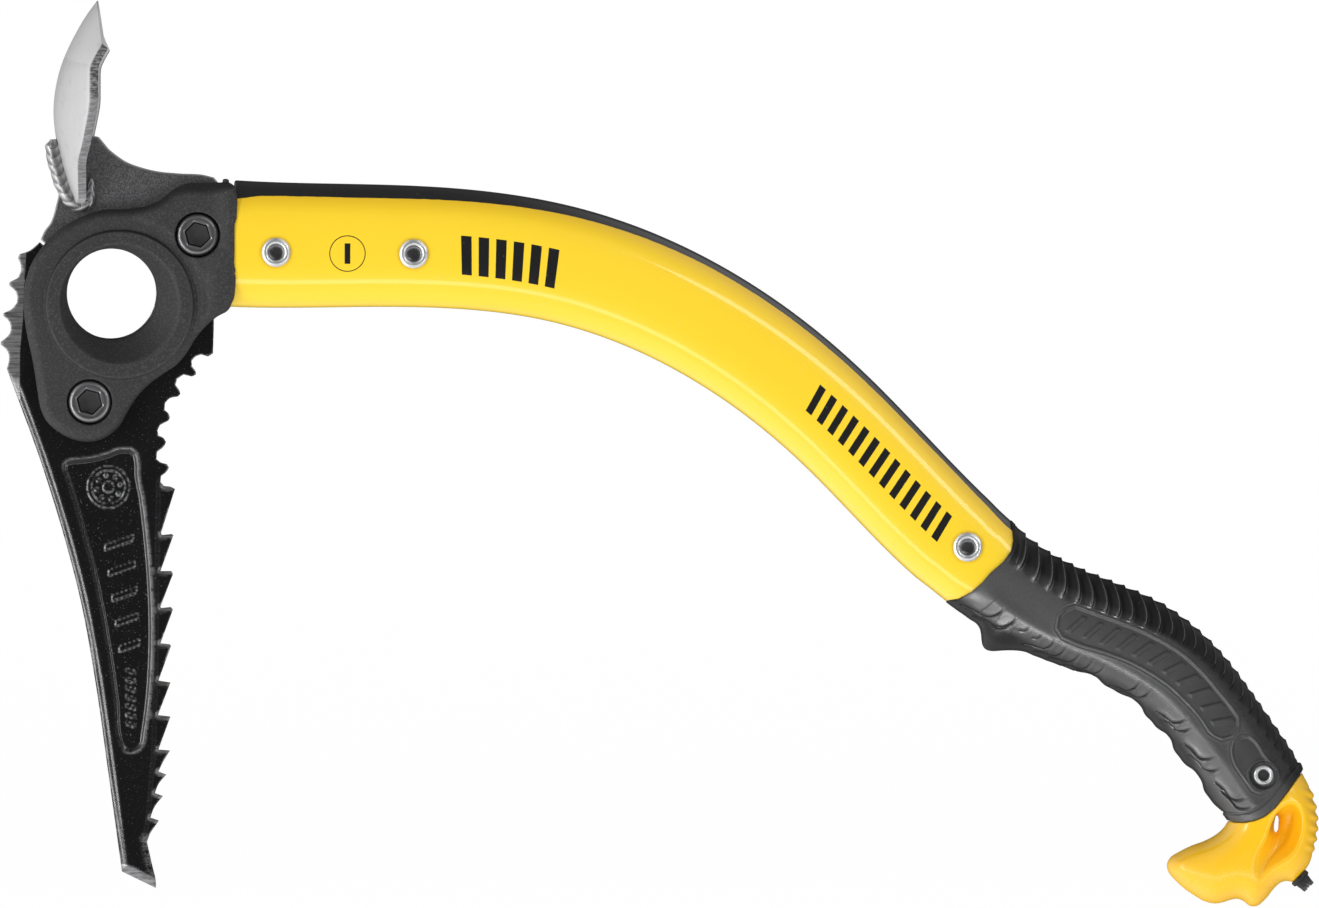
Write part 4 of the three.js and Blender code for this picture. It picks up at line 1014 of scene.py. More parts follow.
def add_notches(s, r, height):
    """Press the notches of the belly into height; returns how deep each point is in a cut."""
    cut = np.zeros_like(s)
    for end_s, end_r, run, depth in NOTCHES:
        along, across = 0.45 * run, min(end_r + 16.4, 0.62 * run)
        angle = np.linspace(0, np.pi / 2, 14)
        path = np.column_stack([
            end_s - along + along * np.cos(angle), end_r - across * np.sin(angle)
        ])
        if run > 6:
            tail = [
                (end_s - 0.75 * run, end_r - across - 0.25),
                (end_s - run - 1.0, end_r - across - 1.3),
            ]
            path = np.concatenate([path, tail])
        near = (np.abs(s - end_s + run / 2) < run / 2 + 9) & (r < end_r + 5)
        near_s, near_r = s[near], r[near]
        away = gap(path, near_s, near_r)
        flap = (near_r < lookup(path[::-1], near_s)) & (near_s < end_s)
        fade = ramp(-0.5, 4.5, np.hypot(near_s - end_s, near_r - end_r))
        cut[near] = np.maximum(cut[near], fade * bell(away, 0.36))
        banks = np.where(flap, -0.28 * np.exp(-away / 3.0), 0.22 * bell(away - 0.8, 0.8))
        height[near] += depth * fade * (banks - 0.95 * bell(away, 0.34))
    return cut


def grip_relief(s, r):
    """Height of the moulded detail, and masks of the cuts, the ribs and the matt panel."""
    step = lookup(GRIP_STEP[:, :], r)
    height = -0.24 * ramp(0.3, -0.3, step - s) * ramp(-19, -9, r)
    rib_low = lookup(RIB_END, s)
    ribs = grip_ribs(s, r) * ramp(-1.0, 1.6, r - rib_low)
    height += 1.15 * ribs
    height += 0.62 * bell(r - lookup(RIDGE, s), 3.0) * ramp(300, 312, s)
    cut = add_notches(s, r, height)
    matt = ramp(-11.5, -7.5, r) * ramp(0.5, -1.5, r - rib_low)
    return height, cut, ribs, matt


def panels(s, r):
    """Height of the two framed panels, and the signed distance to the nearer one."""
    height = np.zeros_like(s)
    edges = [outside(LONG_LOOP, s, r), outside(SHORT_LOOP, s, r)]
    for edge, depth in zip(edges, (0.5, 0.45)):
        height += 0.34 * bell(edge + 0.1, 0.38) + 0.16 * bell(edge - 0.95, 0.3)
        height -= 0.22 * bell(edge - 0.5, 0.28) + depth * ramp(-0.4, -1.0, edge)
    # slanted bars inside the long frame
    across = r - lookup(PANEL_MIDDLE, s)
    length = ramp(3.7, 3.3, np.abs(across)) * ramp(-1.4, -1.9, edges[0])
    for k in range(11):
        along = s - (338.0 + 6.2 * k) - 0.45 * across
        height += 0.55 * ramp(1.1, 0.8, np.abs(along)) * length
    return height, np.minimum(*edges)


def belly_depth(s, unit_r):
    """Half depth on the belly: full detail at the silhouette, smoothed towards the sides."""
    at = BELLY_START + BELLY_STEP * np.arange(len(BELLY))
    fine = np.interp(s, at, blur(BELLY, 3, 1.0))
    plain = np.interp(s, at, blur(np.minimum(BELLY, 18.5), 24, 9.0))
    depth = plain + (fine - plain) * np.abs(unit_r) ** 3
    return np.where(s < 300, 18.5, depth)


def grip():
    cols = 300
    bore_rows = 60
    unit_y, unit_r = oval(cols, 17, 14, 2.7, 2.3)
    on_back = unit_r > 0
    # rows run from the curved upper end to the curved lower end
    part = np.concatenate([[0.0, 0.0, 0.0018, 0.0045], np.linspace(0.0075, 1.0, 430)])[:, None]
    start = lookup(GRIP_START, np.where(on_back, 18.6, 18.5) * unit_r)
    end = lookup(GRIP_END, np.where(on_back, lookup(BACK, 430.0), BELLY[-1]) * unit_r)
    s = start + (end - start) * part
    back, belly = lookup(BACK, s), belly_depth(s, unit_r)
    width = lookup(GRIP_WIDTH, s)
    half = np.where(on_back, back, belly)
    r = half * unit_r
    # the finger lip pinches in towards its tip
    y = width * unit_y * (1 - 0.25 * ramp(19.0, 24.0, -r))
    height, cut, ribs, matt = grip_relief(s, r)
    panel_height, panel_edge = panels(s, r)
    height = height + panel_height * ramp(0.98, 0.7, np.abs(unit_r))
    # outward direction of the section
    out_y = np.sign(y) * (np.abs(y) / width) ** 1.3 / width
    out_r = np.sign(r) * (np.abs(r) / half) ** 1.7 / half
    length = np.maximum(np.hypot(out_y, out_r), 1e-9)
    # the silhouette already carries the large swells, so relief is damped there
    damp = 1 - 0.35 * ramp(0.85, 1.0, np.abs(unit_r))
    drop = np.zeros_like(part)
    drop[:3, 0] = -1.1, -0.55, -0.12
    height = height * damp * ramp(0, 0.012, part) + drop
    # rim and groove at the lower end
    left = end - s
    height = height * ramp(2.6, 5.2, left) + 0.42 * ramp(3.5, 3.0, left) * ramp(0.0, 0.5, left)
    height = height - 0.30 * bell(left - 3.75, 0.35) - 0.35 * ramp(0.5, 0.0, left)
    outer = around_axis(s, r + out_r / length * height, y + out_y / length * height)
    # pocket for the rivet that holds the sleeve
    around = radius(outer[..., 0], outer[..., 2], RIVETS[3])
    depth = np.abs(outer[..., 1])
    depth = np.where(depth > 8, depth + 0.28 * bell(around - 5.3, 0.45), depth)
    clear = ramp(4.55, 4.9, around)
    seat = depth * clear + np.minimum(depth, 10.85) * (1 - clear)
    depth = np.where(depth > 8, seat, depth)
    depth = depth - 4.6 * ramp(3.15, 2.8, around) * (depth > 8)
    outer[..., 1] = np.sign(outer[..., 1]) * depth
    # bore, a little larger than the tube
    bore_s = s[1] + (s[-1] - s[1]) * np.linspace(0, 1, bore_rows)[:, None]
    bore_back, bore_belly = lookup(BORE_BACK, bore_s), lookup(BORE_BELLY, bore_s)
    bore_back[0], bore_belly[0] = back[1] - 0.75, belly[1] - 0.75
    bore_back[-1], bore_belly[-1] = 14.2, 13.4
    bore_s[-1] -= 1.6
    bore_r = unit_r * np.where(on_back, bore_back, bore_belly)
    inner = around_axis(bore_s, bore_r, unit_y * lookup(BORE_WIDTH, bore_s))
    points = np.concatenate([outer.reshape(-1, 3), inner.reshape(-1, 3)])
    faces = outward(points, shell(len(part), bore_rows, cols))

    def both(skin, bore):
        return np.concatenate([skin.ravel(), bore.ravel()])

    zero = np.zeros_like(bore_s)
    attributes = {
        "s": both(s, bore_s),
        "r": both(r, bore_r),
        "h": both(height, zero),
        "cap": both(panel_edge, zero + 9.0),
        "cut": both(cut, zero),
        "rib": both(ribs, zero),
        "matt": both(matt, zero),
    }
    return mesh("grip_rubber_sleeve", points, faces, attributes)


# ------------------------------------------------------------ pommel, spike
def from_grip_end(x, z):
    """Distance across and along the shaft from the middle of the grip's lower end."""
    x, z = x - 403.4, z + 175.5
    return x * 0.8536 + z * 0.521, x * 0.521 + z * -0.8536


def pommel():
    cell = 0.4
    # the last two points lie under the grip
    outline = smooth_loop(np.vstack([POMMEL, [(409.2, -155.0), (383.2, -171.0)]]), 0.7, 40)
    eye, eye_hole = smooth_loop(EYE, 0.7, 60), smooth_loop(EYE_HOLE, 0.7, 60)
    low, high = np.array([366.5, -13.4, -215.2]), np.array([423.8, 13.4, -153.0])
    x, y, z = lattice(low, high, cell)
    x, z = np.meshgrid(x, z, indexing="ij")
    edge = outside(outline, x, z)
    # softly domed faces, lower on the horn at low X
    horn = ramp(392, 374, x)
    dome = (1 - np.clip(-edge / (11.5 - 1.5 * horn), 0, 1)) ** 2.0
    face = (12.3 - 3.0 * horn) * np.clip(1 - dome, 0.05, 1) ** 0.5
    for axis in (0, 1):
        face = np.apply_along_axis(blur, axis, face, 12, 4.2)
    across, along = from_grip_end(x, z)
    # slanted finger ridges on the high X side
    ridged = ramp(-4.5, -0.8, edge) * ramp(409, 414, x)
    ridged = ridged * ramp(-197, -192, z) * ramp(-170, -174, z)
    ridge = 0.42 * ridged * np.cos(2 * np.pi * ((z * 0.93 + x * 0.36) / 3.55))
    # flat end under the sleeve
    end_r, end_s = GRIP_END.T
    end_x, _, end_z = around_axis(end_s, end_r, 0 * end_r).T
    flat = 0.03 + np.interp(across, *from_grip_end(end_x, end_z)) - along
    at_face, at_hole = outside(eye, x, z), outside(eye_hole, x, z)
    y = np.abs(y)[None, :, None]
    edge, face, ridge, flat, at_face, at_hole = (
        grid[:, None, :] for grid in (edge, face, ridge, flat, at_face, at_hole)
    )
    body = smax(edge, 0.8 * (y - face), 4.5) - ridge
    body = smax(body, flat, 0.12)
    # dished eye
    part = np.clip((y - 1.5) / 10.0, 0, 1) ** 0.62
    dish = (at_hole + 0.75) * (1 - part) + (at_face - 0.2) * part
    body = smax(body, -dish * 0.72, 1.5)
    points, quads = surface_nets(body, low, cell)
    x, _, z = points.T
    attributes = {"eye": outside(eye, x, z), "d": -outside(outline, x, z)}
    return mesh("pommel_moulded", points, [quads], attributes)


SPIKE_BASE = np.array([414.96, 0, -202.86])
SPIKE_DIR = np.array([0.7071, 0, -0.7071])
# radius, distance from the base along the spike
SPIKE_PROFILE = table("""
0.3 -4.4, 2.7 -4.4, 2.75 -0.2, 3.35 0, 3.5 0.3, 3.5 1.3, 3.3 1.6, 2.75 1.8, 2.65 2.6,
2.55 3.4, 2.5 4.2, 2.45 4.9, 2.35 5.3, 1.75 5.35, 1.5 4.6, 0.4 4.4""")


def spike():
    """Short tube ending in a crown of five teeth."""
    segments = 96
    angle = 2 * np.pi * np.arange(segments) / segments
    valley = 1 - np.abs(((angle / (2 * np.pi) * 5) % 1) - 0.5) * 2
    across = np.array([0, 1.0, 0])
    other = np.cross(SPIKE_DIR, across)
    rings = []
    for i, (size, length) in enumerate(SPIKE_PROFILE):
        cut = 0 if i < 10 else 1.5 * valley**1.5 * min(1.0, (i - 9) / 2)
        along = (length - cut) * np.ones(segments)
        wide = size * (1 - 0.06 * valley * (i > 8))
        ring = SPIKE_BASE + np.outer(along, SPIKE_DIR) + np.outer(wide * np.cos(angle), across)
        rings.append(ring + np.outer(wide * np.sin(angle), other))
    points, faces = cap_ends(np.concatenate(rings), segments)
    tip = ramp(9, 13, ring_numbers(len(rings), segments))
    return mesh("spike_crown", points, faces, {"tip": tip}, sharp=40)


# ------------------------------------------------------------------ shader graphs
class Field:
    """Output of a shader node; arithmetic on it adds math nodes."""

    def __init__(self, graph, socket):
        self.graph = graph
        self.socket = socket

    def __add__(self, other):
        return self.graph.math("ADD", self, other)

    def __sub__(self, other):
        return self.graph.math("SUBTRACT", self, other)

    def __rsub__(self, other):
        return self.graph.math("SUBTRACT", other, self)

    def __mul__(self, other):
        return self.graph.math("MULTIPLY", self, other)

    def __truediv__(self, other):
        return self.graph.math("DIVIDE", self, other)

    def __lt__(self, other):
        return self.graph.math("LESS_THAN", self, other)

    def __gt__(self, other):
        return self.graph.math("GREATER_THAN", self, other)

    def __abs__(self):
        return self.graph.math("ABSOLUTE", self)

    def max(self, other, clamp=False):
        return self.graph.math("MAXIMUM", self, other, clamp)

    def output(self, key):
        """Another output of the same node."""
        return Field(self.graph, self.socket.node.outputs[key])

    def ramp(self, zero, one):
        """Smoothstep: 0 where the field is at zero, 1 where it is at one."""
        inputs = {
            "Value": self,
            "From Min": min(zero, one),
            "From Max": max(zero, one),
            "To Min": float(zero > one),
            "To Max": float(zero < one),
        }
        return self.graph.add("MapRange", inputs, interpolation_type="SMOOTHSTEP")

    def blend(self, first, second):
        """First colour where the field is 0, second where it is 1."""
        return self.graph.add("Mix", {0: self, 6: first, 7: second}, 2, data_type="RGBA")

    def between(self, first, second):
        """First number where the field is 0, second where it is 1."""
        return self.graph.add("Mix", {0: self, 2: first, 3: second}, data_type="FLOAT")

    def bump(self, strength, depth, over=None):
        """Normal bumped by the field, on top of the normal over; depth in metres."""
        inputs = {"Strength": strength, "Distance": depth, "Height": self}
        if over is not None:
            inputs["Normal"] = over
        return self.graph.add("Bump", inputs)


class Graph:
    """Empty node tree of a material or world; spare fills the third, unused math input."""

    def __init__(self, owner, spare=0.0):
        owner.use_nodes = True
        self.tree = owner.node_tree
        self.tree.nodes.clear()
        self.spare = spare

    def plug(self, socket, value):
        if isinstance(value, Field):
            self.tree.links.new(value.socket, socket)
        elif isinstance(value, tuple) and socket.type == "RGBA":
            socket.default_value = (*value, 1)
        else:
            socket.default_value = value

    def add(self, kind, inputs, output=0, **settings):
        """New node; returns the chosen output, if it has any."""
        node = self.tree.nodes.new("ShaderNode" + kind)
        for key, value in settings.items():
            setattr(node, key, value)
        for key, value in inputs.items():
            self.plug(node.inputs[key], value)
        return Field(self, node.outputs[output]) if len(node.outputs) else None

    def math(self, operation, first, second=0.0, clamp=False):
        inputs = {0: first, 1: second, 2: self.spare}
        return self.add("Math", inputs, operation=operation, use_clamp=clamp)


class Material(Graph):
    """Material with one Principled shader."""

    def __init__(self, name):
        self.material = bpy.data.materials.new(name)
        super().__init__(self.material)
        self.shader = self.add("BsdfPrincipled", {})
        self.add("OutputMaterial", {0: self.shader})
        self.place = self.add("TexCoord", {}, "Object")

    def attr(self, name):
        return self.add("Attribute", {}, "Fac", attribute_name=name)

    def noise(self, scale, detail=3, rough=0.6, stretch=None, turn=0):
        """Noise, if stretch is given scaled by it per axis and turned about Y."""
        place = self.place
        if stretch:
            mapping = {"Vector": place, "Scale": stretch, "Rotation": (0, turn, 0)}
            place = self.add("Mapping", mapping)
        inputs = {"Vector": place, "Scale": scale, "Detail": detail, "Roughness": rough}
        return self.add("TexNoise", inputs, "Fac")

    def finish(self, **inputs):
        """Set the Principled inputs and return the material."""
        for key, value in inputs.items():
            self.plug(self.shader.socket.node.inputs[key.replace("_", " ")], value)
        return self.material


def grey(value, blue=None):
    """Grey, with its own blue value if given."""
    return (value, value, value if blue is None else blue)


# ------------------------------------------------------------------ materials
def mat_forged():
    mat = Material("forged_head_matt")
    grain = mat.noise(2600, detail=4)
    cloud = mat.noise(55, rough=0.5)
    fine = mat.noise(1500)
    base = cloud.blend(grey(0.022, 0.023), grey(0.029, 0.030))
    base = fine.ramp(0.44, 0.80).blend(base, grey(0.070, 0.072))
    # painted highlight: lighter along the crest edges of the raised ring
    base = (mat.attr("rim") * 0.12).blend(base, grey(0.11, 0.115))
    wear = mat.attr("joint") * mat.noise(700, detail=2).ramp(0.6, 0.7)
    base = (wear * 0.8).blend(base, grey(0.42, 0.43))
    # painted shade: darker and duller where the surface faces up
    normal = mat.add("NewGeometry", {}, "Normal")
    up = mat.add("SeparateXYZ", {0: normal}, 2).ramp(0.10, 0.75) * 0.6
    base = up.blend(base, grey(0.008, 0.0085))
    return mat.finish(
        Base_Color=base,
        Roughness=grain.between(0.50, 0.68),
        Specular_IOR_Level=up.between(0.42, 0.15),
        Normal=grain.bump(
            strength=0.35, depth=0.00012, over=fine.bump(strength=0.16, depth=0.0002)
        ),
    )


def mat_pick():
    mat = Material("pick_black_gloss")
    speck = mat.noise(1500, detail=2, rough=0.7)
    peel = mat.noise(420, detail=2, rough=0.5)
    cloud = mat.noise(60, detail=4)
    bare = mat.attr("bare")
    black = cloud.blend(grey(0.004, 0.0045), grey(0.009, 0.010))
    black = (speck.ramp(0.64, 0.72) * 0.55).blend(black, grey(0.20, 0.21))
    hatch = mat.noise(90, rough=0.7, stretch=(1.5, 1.5, 18))
    cross_hatch = mat.noise(90, rough=0.7, stretch=(12, 3, 3), turn=0.5)
    steel = hatch.ramp(0.30, 0.66).blend(grey(0.13, 0.132), grey(0.40, 0.41))
    # steel shows at the rear teeth, the facets, the worn tip, chipped edges and thin lines
    rear = mat.attr("rear").ramp(0.15, 0.5)
    scratch = mat.noise(900) * 0.6 + cross_hatch * 0.4
    worn = scratch.ramp(0.42, 0.56) * mat.attr("rough")
    chip = mat.attr("edge").ramp(0.5, 0.05) * mat.noise(260).ramp(0.46, 0.6)
    root_line = abs(mat.attr("root") - 0.6).ramp(0.5, 0.15) * 0.03
    spine = mat.attr("spine")
    spine_band = spine.ramp(1.3, 1.6) * spine.ramp(3.05, 2.8)
    mask = (rear * 0.9).max(bare).max((worn * 0.5).max(chip * 0.8))
    mask = mask.max(root_line.max(spine_band * 0.05), clamp=True)
    filed = hatch.ramp(0.4, 0.6).blend(grey(0.15, 0.155), grey(0.34, 0.35))
    steel = bare.blend(steel, filed)
    # painted highlight: bare steel colour along the lit pocket rim and the edges of the marks
    painted_glint = mat.attr("painted_glint") * mat.noise(500).ramp(0.30, 0.48)
    mask = mask.max(painted_glint * 0.85)
    normal = peel.bump(strength=0.10, depth=0.0003)
    normal = (hatch * mask).bump(strength=0.35, depth=0.0002, over=normal)
    return mat.finish(
        Base_Color=mask.blend(black, steel),
        Metallic=mask * 0.75,
        Roughness=mask.between(peel.between(0.13, 0.22), 0.40),
        Specular_IOR_Level=0.6,
        Normal=speck.bump(strength=0.10, depth=0.0001, over=normal),
    )


def mat_grey():
    mat = Material("blasted_grey_steel")
    grain = mat.noise(2300, detail=4, rough=0.7)
    cloud = mat.noise(90)
    base = grain.ramp(0.35, 0.7).blend(grey(0.045, 0.047), grey(0.20, 0.205))
    base = (cloud * 0.5).blend(base, grey(0.085, 0.088))
    # painted highlight: lighter along the plate's edges
    base = (mat.attr("edge").ramp(0.75, 0.2) * 0.55).blend(base, grey(0.50, 0.51))
    return mat.finish(
        Base_Color=base,
        Metallic=0.45,
        Roughness=grain.between(0.38, 0.58),
        Normal=grain.bump(strength=0.45, depth=0.00015),
    )


def mat_bright():
    mat = Material("satin_bright_steel")
    hatch = mat.noise(60, detail=4, rough=0.65, stretch=(24, 24, 2.5), turn=0.1)
    grind = mat.noise(60, stretch=(3, 24, 24), turn=0.2)
    spots = mat.noise(300)
    across, up = mat.attr("across"), mat.attr("up")
    side = across.ramp(0.975, 0.995)
    base = hatch.blend(grey(0.50, 0.505), grey(0.60, 0.605))
    base = ((up + across * 0.03).ramp(0.715, 0.73) * 0.35).blend(base, grey(0.72, 0.73))
    base = (spots.ramp(0.58, 0.7) * 0.25).blend(base, grey(0.36, 0.37))
    # painted shade: the side edge strip is painted much darker than the faces, a little lighter
    # towards the foot
    strip = grind.ramp(0.4, 0.62).blend(grey(0.06, 0.062), grey(0.26, 0.265))
    strip = (up.ramp(0.55, 0.5) * 0.4).blend(strip, grey(0.34, 0.35))
    normal = (grind * side).bump(strength=0.4, depth=0.0002)
    return mat.finish(
        Base_Color=side.blend(base, strip),
        Metallic=0.22,
        Roughness=hatch.between(0.42, 0.55),
        Normal=hatch.bump(strength=0.18, depth=0.00012, over=normal),
    )


def mat_weld():
    mat = Material("weld_bead_metal")
    grain = mat.noise(1300)
    tint = mat.noise(160)
    # painted light and shade: each ripple goes from light at its start to dark towards the next
    base = mat.attr("ripple").ramp(0.0, 0.9).blend(grey(0.52), grey(0.20, 0.21))
    base = (tint.ramp(0.5, 0.75) * 0.5).blend(base, (0.34, 0.30, 0.26))
    return mat.finish(
        Base_Color=base,
        Metallic=0.85,
        Roughness=grain.between(0.28, 0.46),
        Normal=grain.bump(strength=0.12, depth=0.0001),
    )


def mat_fastener():
    mat = Material("oiled_fastener_steel")
    grain = mat.noise(1700)
    base = mat.noise(200).blend(grey(0.11, 0.113), grey(0.18, 0.185))
    # painted highlight: lighter on the chamfer and the socket rim
    base = (mat.attr("edge") * 0.55).blend(base, grey(0.40, 0.41))
    # painted shade: the socket's inside is near black and barely reflecting
    base = mat.attr("deep").blend(base, grey(0.003, 0.0035))
    return mat.finish(
        Specular_IOR_Level=mat.attr("deep").between(0.5, 0.04),
        Base_Color=base,
        Metallic=mat.attr("deep").between(0.85, 0.0),
        Roughness=mat.attr("deep").between(grain.between(0.28, 0.44), 0.22),
        Normal=grain.bump(strength=0.15, depth=0.0002),
    )


def mat_rivet():
    mat = Material("polished_rivet_steel")
    grain = mat.noise(700)
    scratch = mat.noise(120, detail=2, stretch=(40, 4, 4))
    base = grain.blend((0.78, 0.79, 0.80), (0.90, 0.91, 0.92))
    # painted shade: darker inside the bore
    base = mat.attr("deep").blend(base, grey(0.22, 0.225))
    return mat.finish(
        Base_Color=base,
        Metallic=0.85,
        Roughness=mat.attr("deep").between(grain.between(0.30, 0.36), 0.3),
        Normal=scratch.bump(strength=0.02, depth=0.00004),
    )


def bars(s, r, s_range, r_range, pitch, duty, slant):
    """Mask of slanted bars; duty is the inked part of the pitch, slant their lean in s per r."""
    along = s + r * slant
    phase = s.graph.math("FRACT", (along - s_range[0]) / pitch)
    in_s = (along > s_range[0]) * (along < s_range[1])
    in_r = (r > r_range[0]) * (r < r_range[1])
    return (phase < duty) * (in_s * in_r)


def mat_shaft():
    mat = Material("shaft_yellow_lacquer")
    s, r, band = mat.attr("s"), mat.attr("r"), mat.attr("band")
    flake = mat.noise(3000, detail=2)
    cloud = mat.noise(18, rough=0.5)
    peel = mat.noise(260, detail=2, rough=0.5)
    dust = mat.noise(520, detail=2, rough=0.5).ramp(0.73, 0.78)
    yellow = cloud.blend((1.0, 0.655, 0.012), (1.0, 0.70, 0.020))
    yellow = (flake * 0.10).blend(yellow, (1.0, 0.74, 0.08))
    # painted shade: the yellow darkens towards the black back
    yellow = (band.ramp(-6.5, -0.2) * 0.42).blend(yellow, (0.80, 0.44, 0.008))
    # shadow line round the rivets
    yellow = (mat.attr("rivet").ramp(6.6, 5.0) * 0.35).blend(yellow, (0.62, 0.33, 0.01))
    black = mat.noise(900, detail=2).blend(grey(0.006, 0.0065), grey(0.012, 0.013))
    ragged = band + (mat.noise(420, detail=2, rough=0.5) - 0.5) * 0.25
    is_black = ragged.ramp(-0.1, 0.1)
    # two groups of slanted bars and a ring round a short bar
    upper = bars(s, r, (80.0, 115.0), (-9.0, 4.6), pitch=6.1, duty=0.60, slant=0.10)
    lower = bars(s, r, (216.0, 282.0), (-4.6, 5.6), pitch=5.2, duty=0.52, slant=0.22)
    along, across = s - 40.2, r + 2.9
    around = mat.math("SQRT", along * along + across * across)
    ring = abs(around - 6.2) < 0.17
    bar = (abs(along) < 1.0) * (abs(across) < 3.6)
    marks = upper.max(lower).max(ring.max(bar))
    inside = mat.attr("inside")
    base = marks.max(is_black).blend(yellow, black)
    base = (dust * 0.10).blend(base, (0.9, 0.85, 0.7))
    base = inside.blend(base, flake.blend(grey(0.30, 0.31), grey(0.45, 0.46)))
    normal = peel.bump(strength=0.035, depth=0.0004)
    return mat.finish(
        Base_Color=base,
        Roughness=peel.between(0.30, 0.36),
        Specular_IOR_Level=0.45,
        Coat_Weight=inside.between(0.9, 0.0),
        Coat_Roughness=flake.between(0.05, 0.10),
        Metallic=inside * 0.8,
        Normal=(marks * 0.4 + is_black).bump(strength=0.12, depth=0.00005, over=normal),
    )


def mat_grip():
    mat = Material("grip_rubber_satin")
    pore = mat.noise(2400, detail=4, rough=0.65)
    cloud = mat.noise(45, detail=4, rough=0.55)
    scuff = mat.noise(120, detail=4, rough=0.7, stretch=(10, 10, 30), turn=0.8)
    base = cloud.blend(grey(0.008, 0.0084), grey(0.013, 0.0137))
    rib = mat.attr("rib")
    # painted shade: darker in the valleys between the ribs
    valley = rib.ramp(0.30, -0.25) * rib.ramp(0.02, -0.04)
    base = valley.blend(base, grey(0.006, 0.0065))
    # painted highlight: lighter along the rib crests
    base = (rib.ramp(0.68, 0.88) * 0.85).blend(base, grey(0.105, 0.108))
    # painted shade: near black in the notch cuts
    base = mat.attr("cut").blend(base, grey(0.003))
    panel = mat.attr("cap").ramp(-1.0, -1.6)
    base = (panel * 0.6).blend(base, grey(0.006, 0.0063))
    base = (mat.noise(700, detail=2).ramp(0.62, 0.78) * 0.12).blend(base, grey(0.12))
    matt = mat.attr("matt")
    fleck = mat.noise(1500, rough=0.7).ramp(0.35, 0.7)
    flecked = fleck.blend(grey(0.014, 0.0147), grey(0.028, 0.0288))
    base = (matt * panel.between(0.9, 0.0)).blend(base, flecked)
    belly = mat.attr("r").ramp(-12.0, -16.0)
    back = mat.attr("r").ramp(6.0, 10.0)
    dull = mat.attr("cut").max(belly.max(back) * 0.8)
    return mat.finish(
        Base_Color=base,
        Roughness=panel.max(matt).between(scuff.between(0.32, 0.42), 0.58),
        Specular_IOR_Level=dull.between(0.85, 0.0),
        Coat_Weight=(1.0 - dull.max(matt * 0.8)) * panel.between(0.6, 0.05),
        Coat_IOR=1.5,
        Coat_Roughness=scuff.between(0.26, 0.34),
        Normal=pore.bump(
            strength=0.22, depth=0.00012, over=scuff.bump(strength=0.05, depth=0.0003)
        ),
    )


def mat_pommel():
    mat = Material("pommel_yellow_moulded")
    cloud = mat.noise(30, rough=0.5)
    grain = mat.noise(1500, rough=0.7)
    peel = mat.noise(200, detail=2, rough=0.5)
    low = mat.add("SeparateXYZ", {0: mat.place}, 2).ramp(0.026, 0.010)
    eye = mat.attr("eye").ramp(0.2, -2.4)
    base = cloud.blend((1.0, 0.53, 0.010), (1.0, 0.60, 0.014))
    # painted shade: deeper orange inside the dished eye
    base = (eye * 0.45).blend(base, (0.96, 0.46, 0.010))
    base = (low * grain.ramp(0.5, 0.62) * 0.16).blend(base, (1.0, 0.70, 0.18))
    normal = peel.bump(strength=0.04, depth=0.0006)
    return mat.finish(
        Base_Color=base,
        Roughness=(low * grain).between(0.18, 0.36),
        Specular_IOR_Level=0.5,
        Coat_Weight=0.25,
        Coat_Roughness=0.08,
        Normal=(grain * low).bump(strength=0.22, depth=0.0003, over=normal),
    )


def mat_spike():
    mat = Material("spike_dark_steel")
    grain = mat.noise(1500, rough=0.7)
    tip = mat.attr("tip") * grain.ramp(0.35, 0.6)
    base = grain.blend(grey(0.018, 0.019), grey(0.05, 0.053))
    return mat.finish(
        Base_Color=(tip * 0.45).blend(base, grey(0.45, 0.46)),
        Metallic=0.6,
        Roughness=grain.between(0.32, 0.55),
        Normal=grain.bump(strength=0.4, depth=0.0002),
    )


def mat_plug():
    mat = Material("plug_moulded_black")
    grain = mat.noise(1900)
    return mat.finish(
        Base_Color=mat.noise(140).blend(grey(0.014, 0.015), grey(0.024, 0.026)),
        Roughness=grain.between(0.48, 0.66),
        Normal=grain.bump(strength=0.25, depth=0.00015),
    )


# ------------------------------------------------------------------- assembly
def place(ob, material, slot, node):
    ob.data.materials.clear()
    ob.data.materials.append(material)
    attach(ob, "root")
    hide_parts(node)


place(shaft(), mat_shaft(), "yellow_lacquer", "shaft_tube")
place(head_body(), mat_forged(), "forged_head", "head_body")
place(pick(), mat_pick(), "black_steel", "pick")
place(adze_plate(), mat_grey(), "grey_steel", "adze_plate")
place(blade(), mat_bright(), "bright_steel", "adze_blade")
SIDES = {"near": -1, "far": 1}
weld_metal = mat_weld()
for tag, side in SIDES.items():
    place(weld("weld_bead_" + tag, side), weld_metal, "weld", "adze_weld_" + tag)
bolt_steel = mat_fastener()
for tag, centre in BOLTS.items():
    head = bolt("bolt_head_" + tag, centre, side=-1, half_flats=4.0)
    place(head, bolt_steel, "fastener_steel", "head_bolt_" + tag)
    nut = bolt("nut_sleeve_" + tag, centre, side=1, half_flats=3.85)
    place(nut, bolt_steel, "fastener_steel", "head_nut_" + tag)
rivet_steel = mat_rivet()
rivet_names = ("head_rivet_upper", "head_rivet_lower", "plug_rivet", "pommel_rivet")
for sizes, rivet_name in zip(RIVETS, rivet_names):
    for tag, side in SIDES.items():
        node = f"{rivet_name}_{tag}"
        place(rivet("tube_" + node, *sizes, side), rivet_steel, "rivet_steel", node)
place(grip(), mat_grip(), "grip_rubber", "grip")
place(pommel(), mat_pommel(), "pommel_plastic", "pommel")
place(spike(), mat_spike(), "spike_steel", "spike")
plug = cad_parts["shaft_plug"]
plug.data.materials.clear()
plug.data.materials.append(mat_plug())


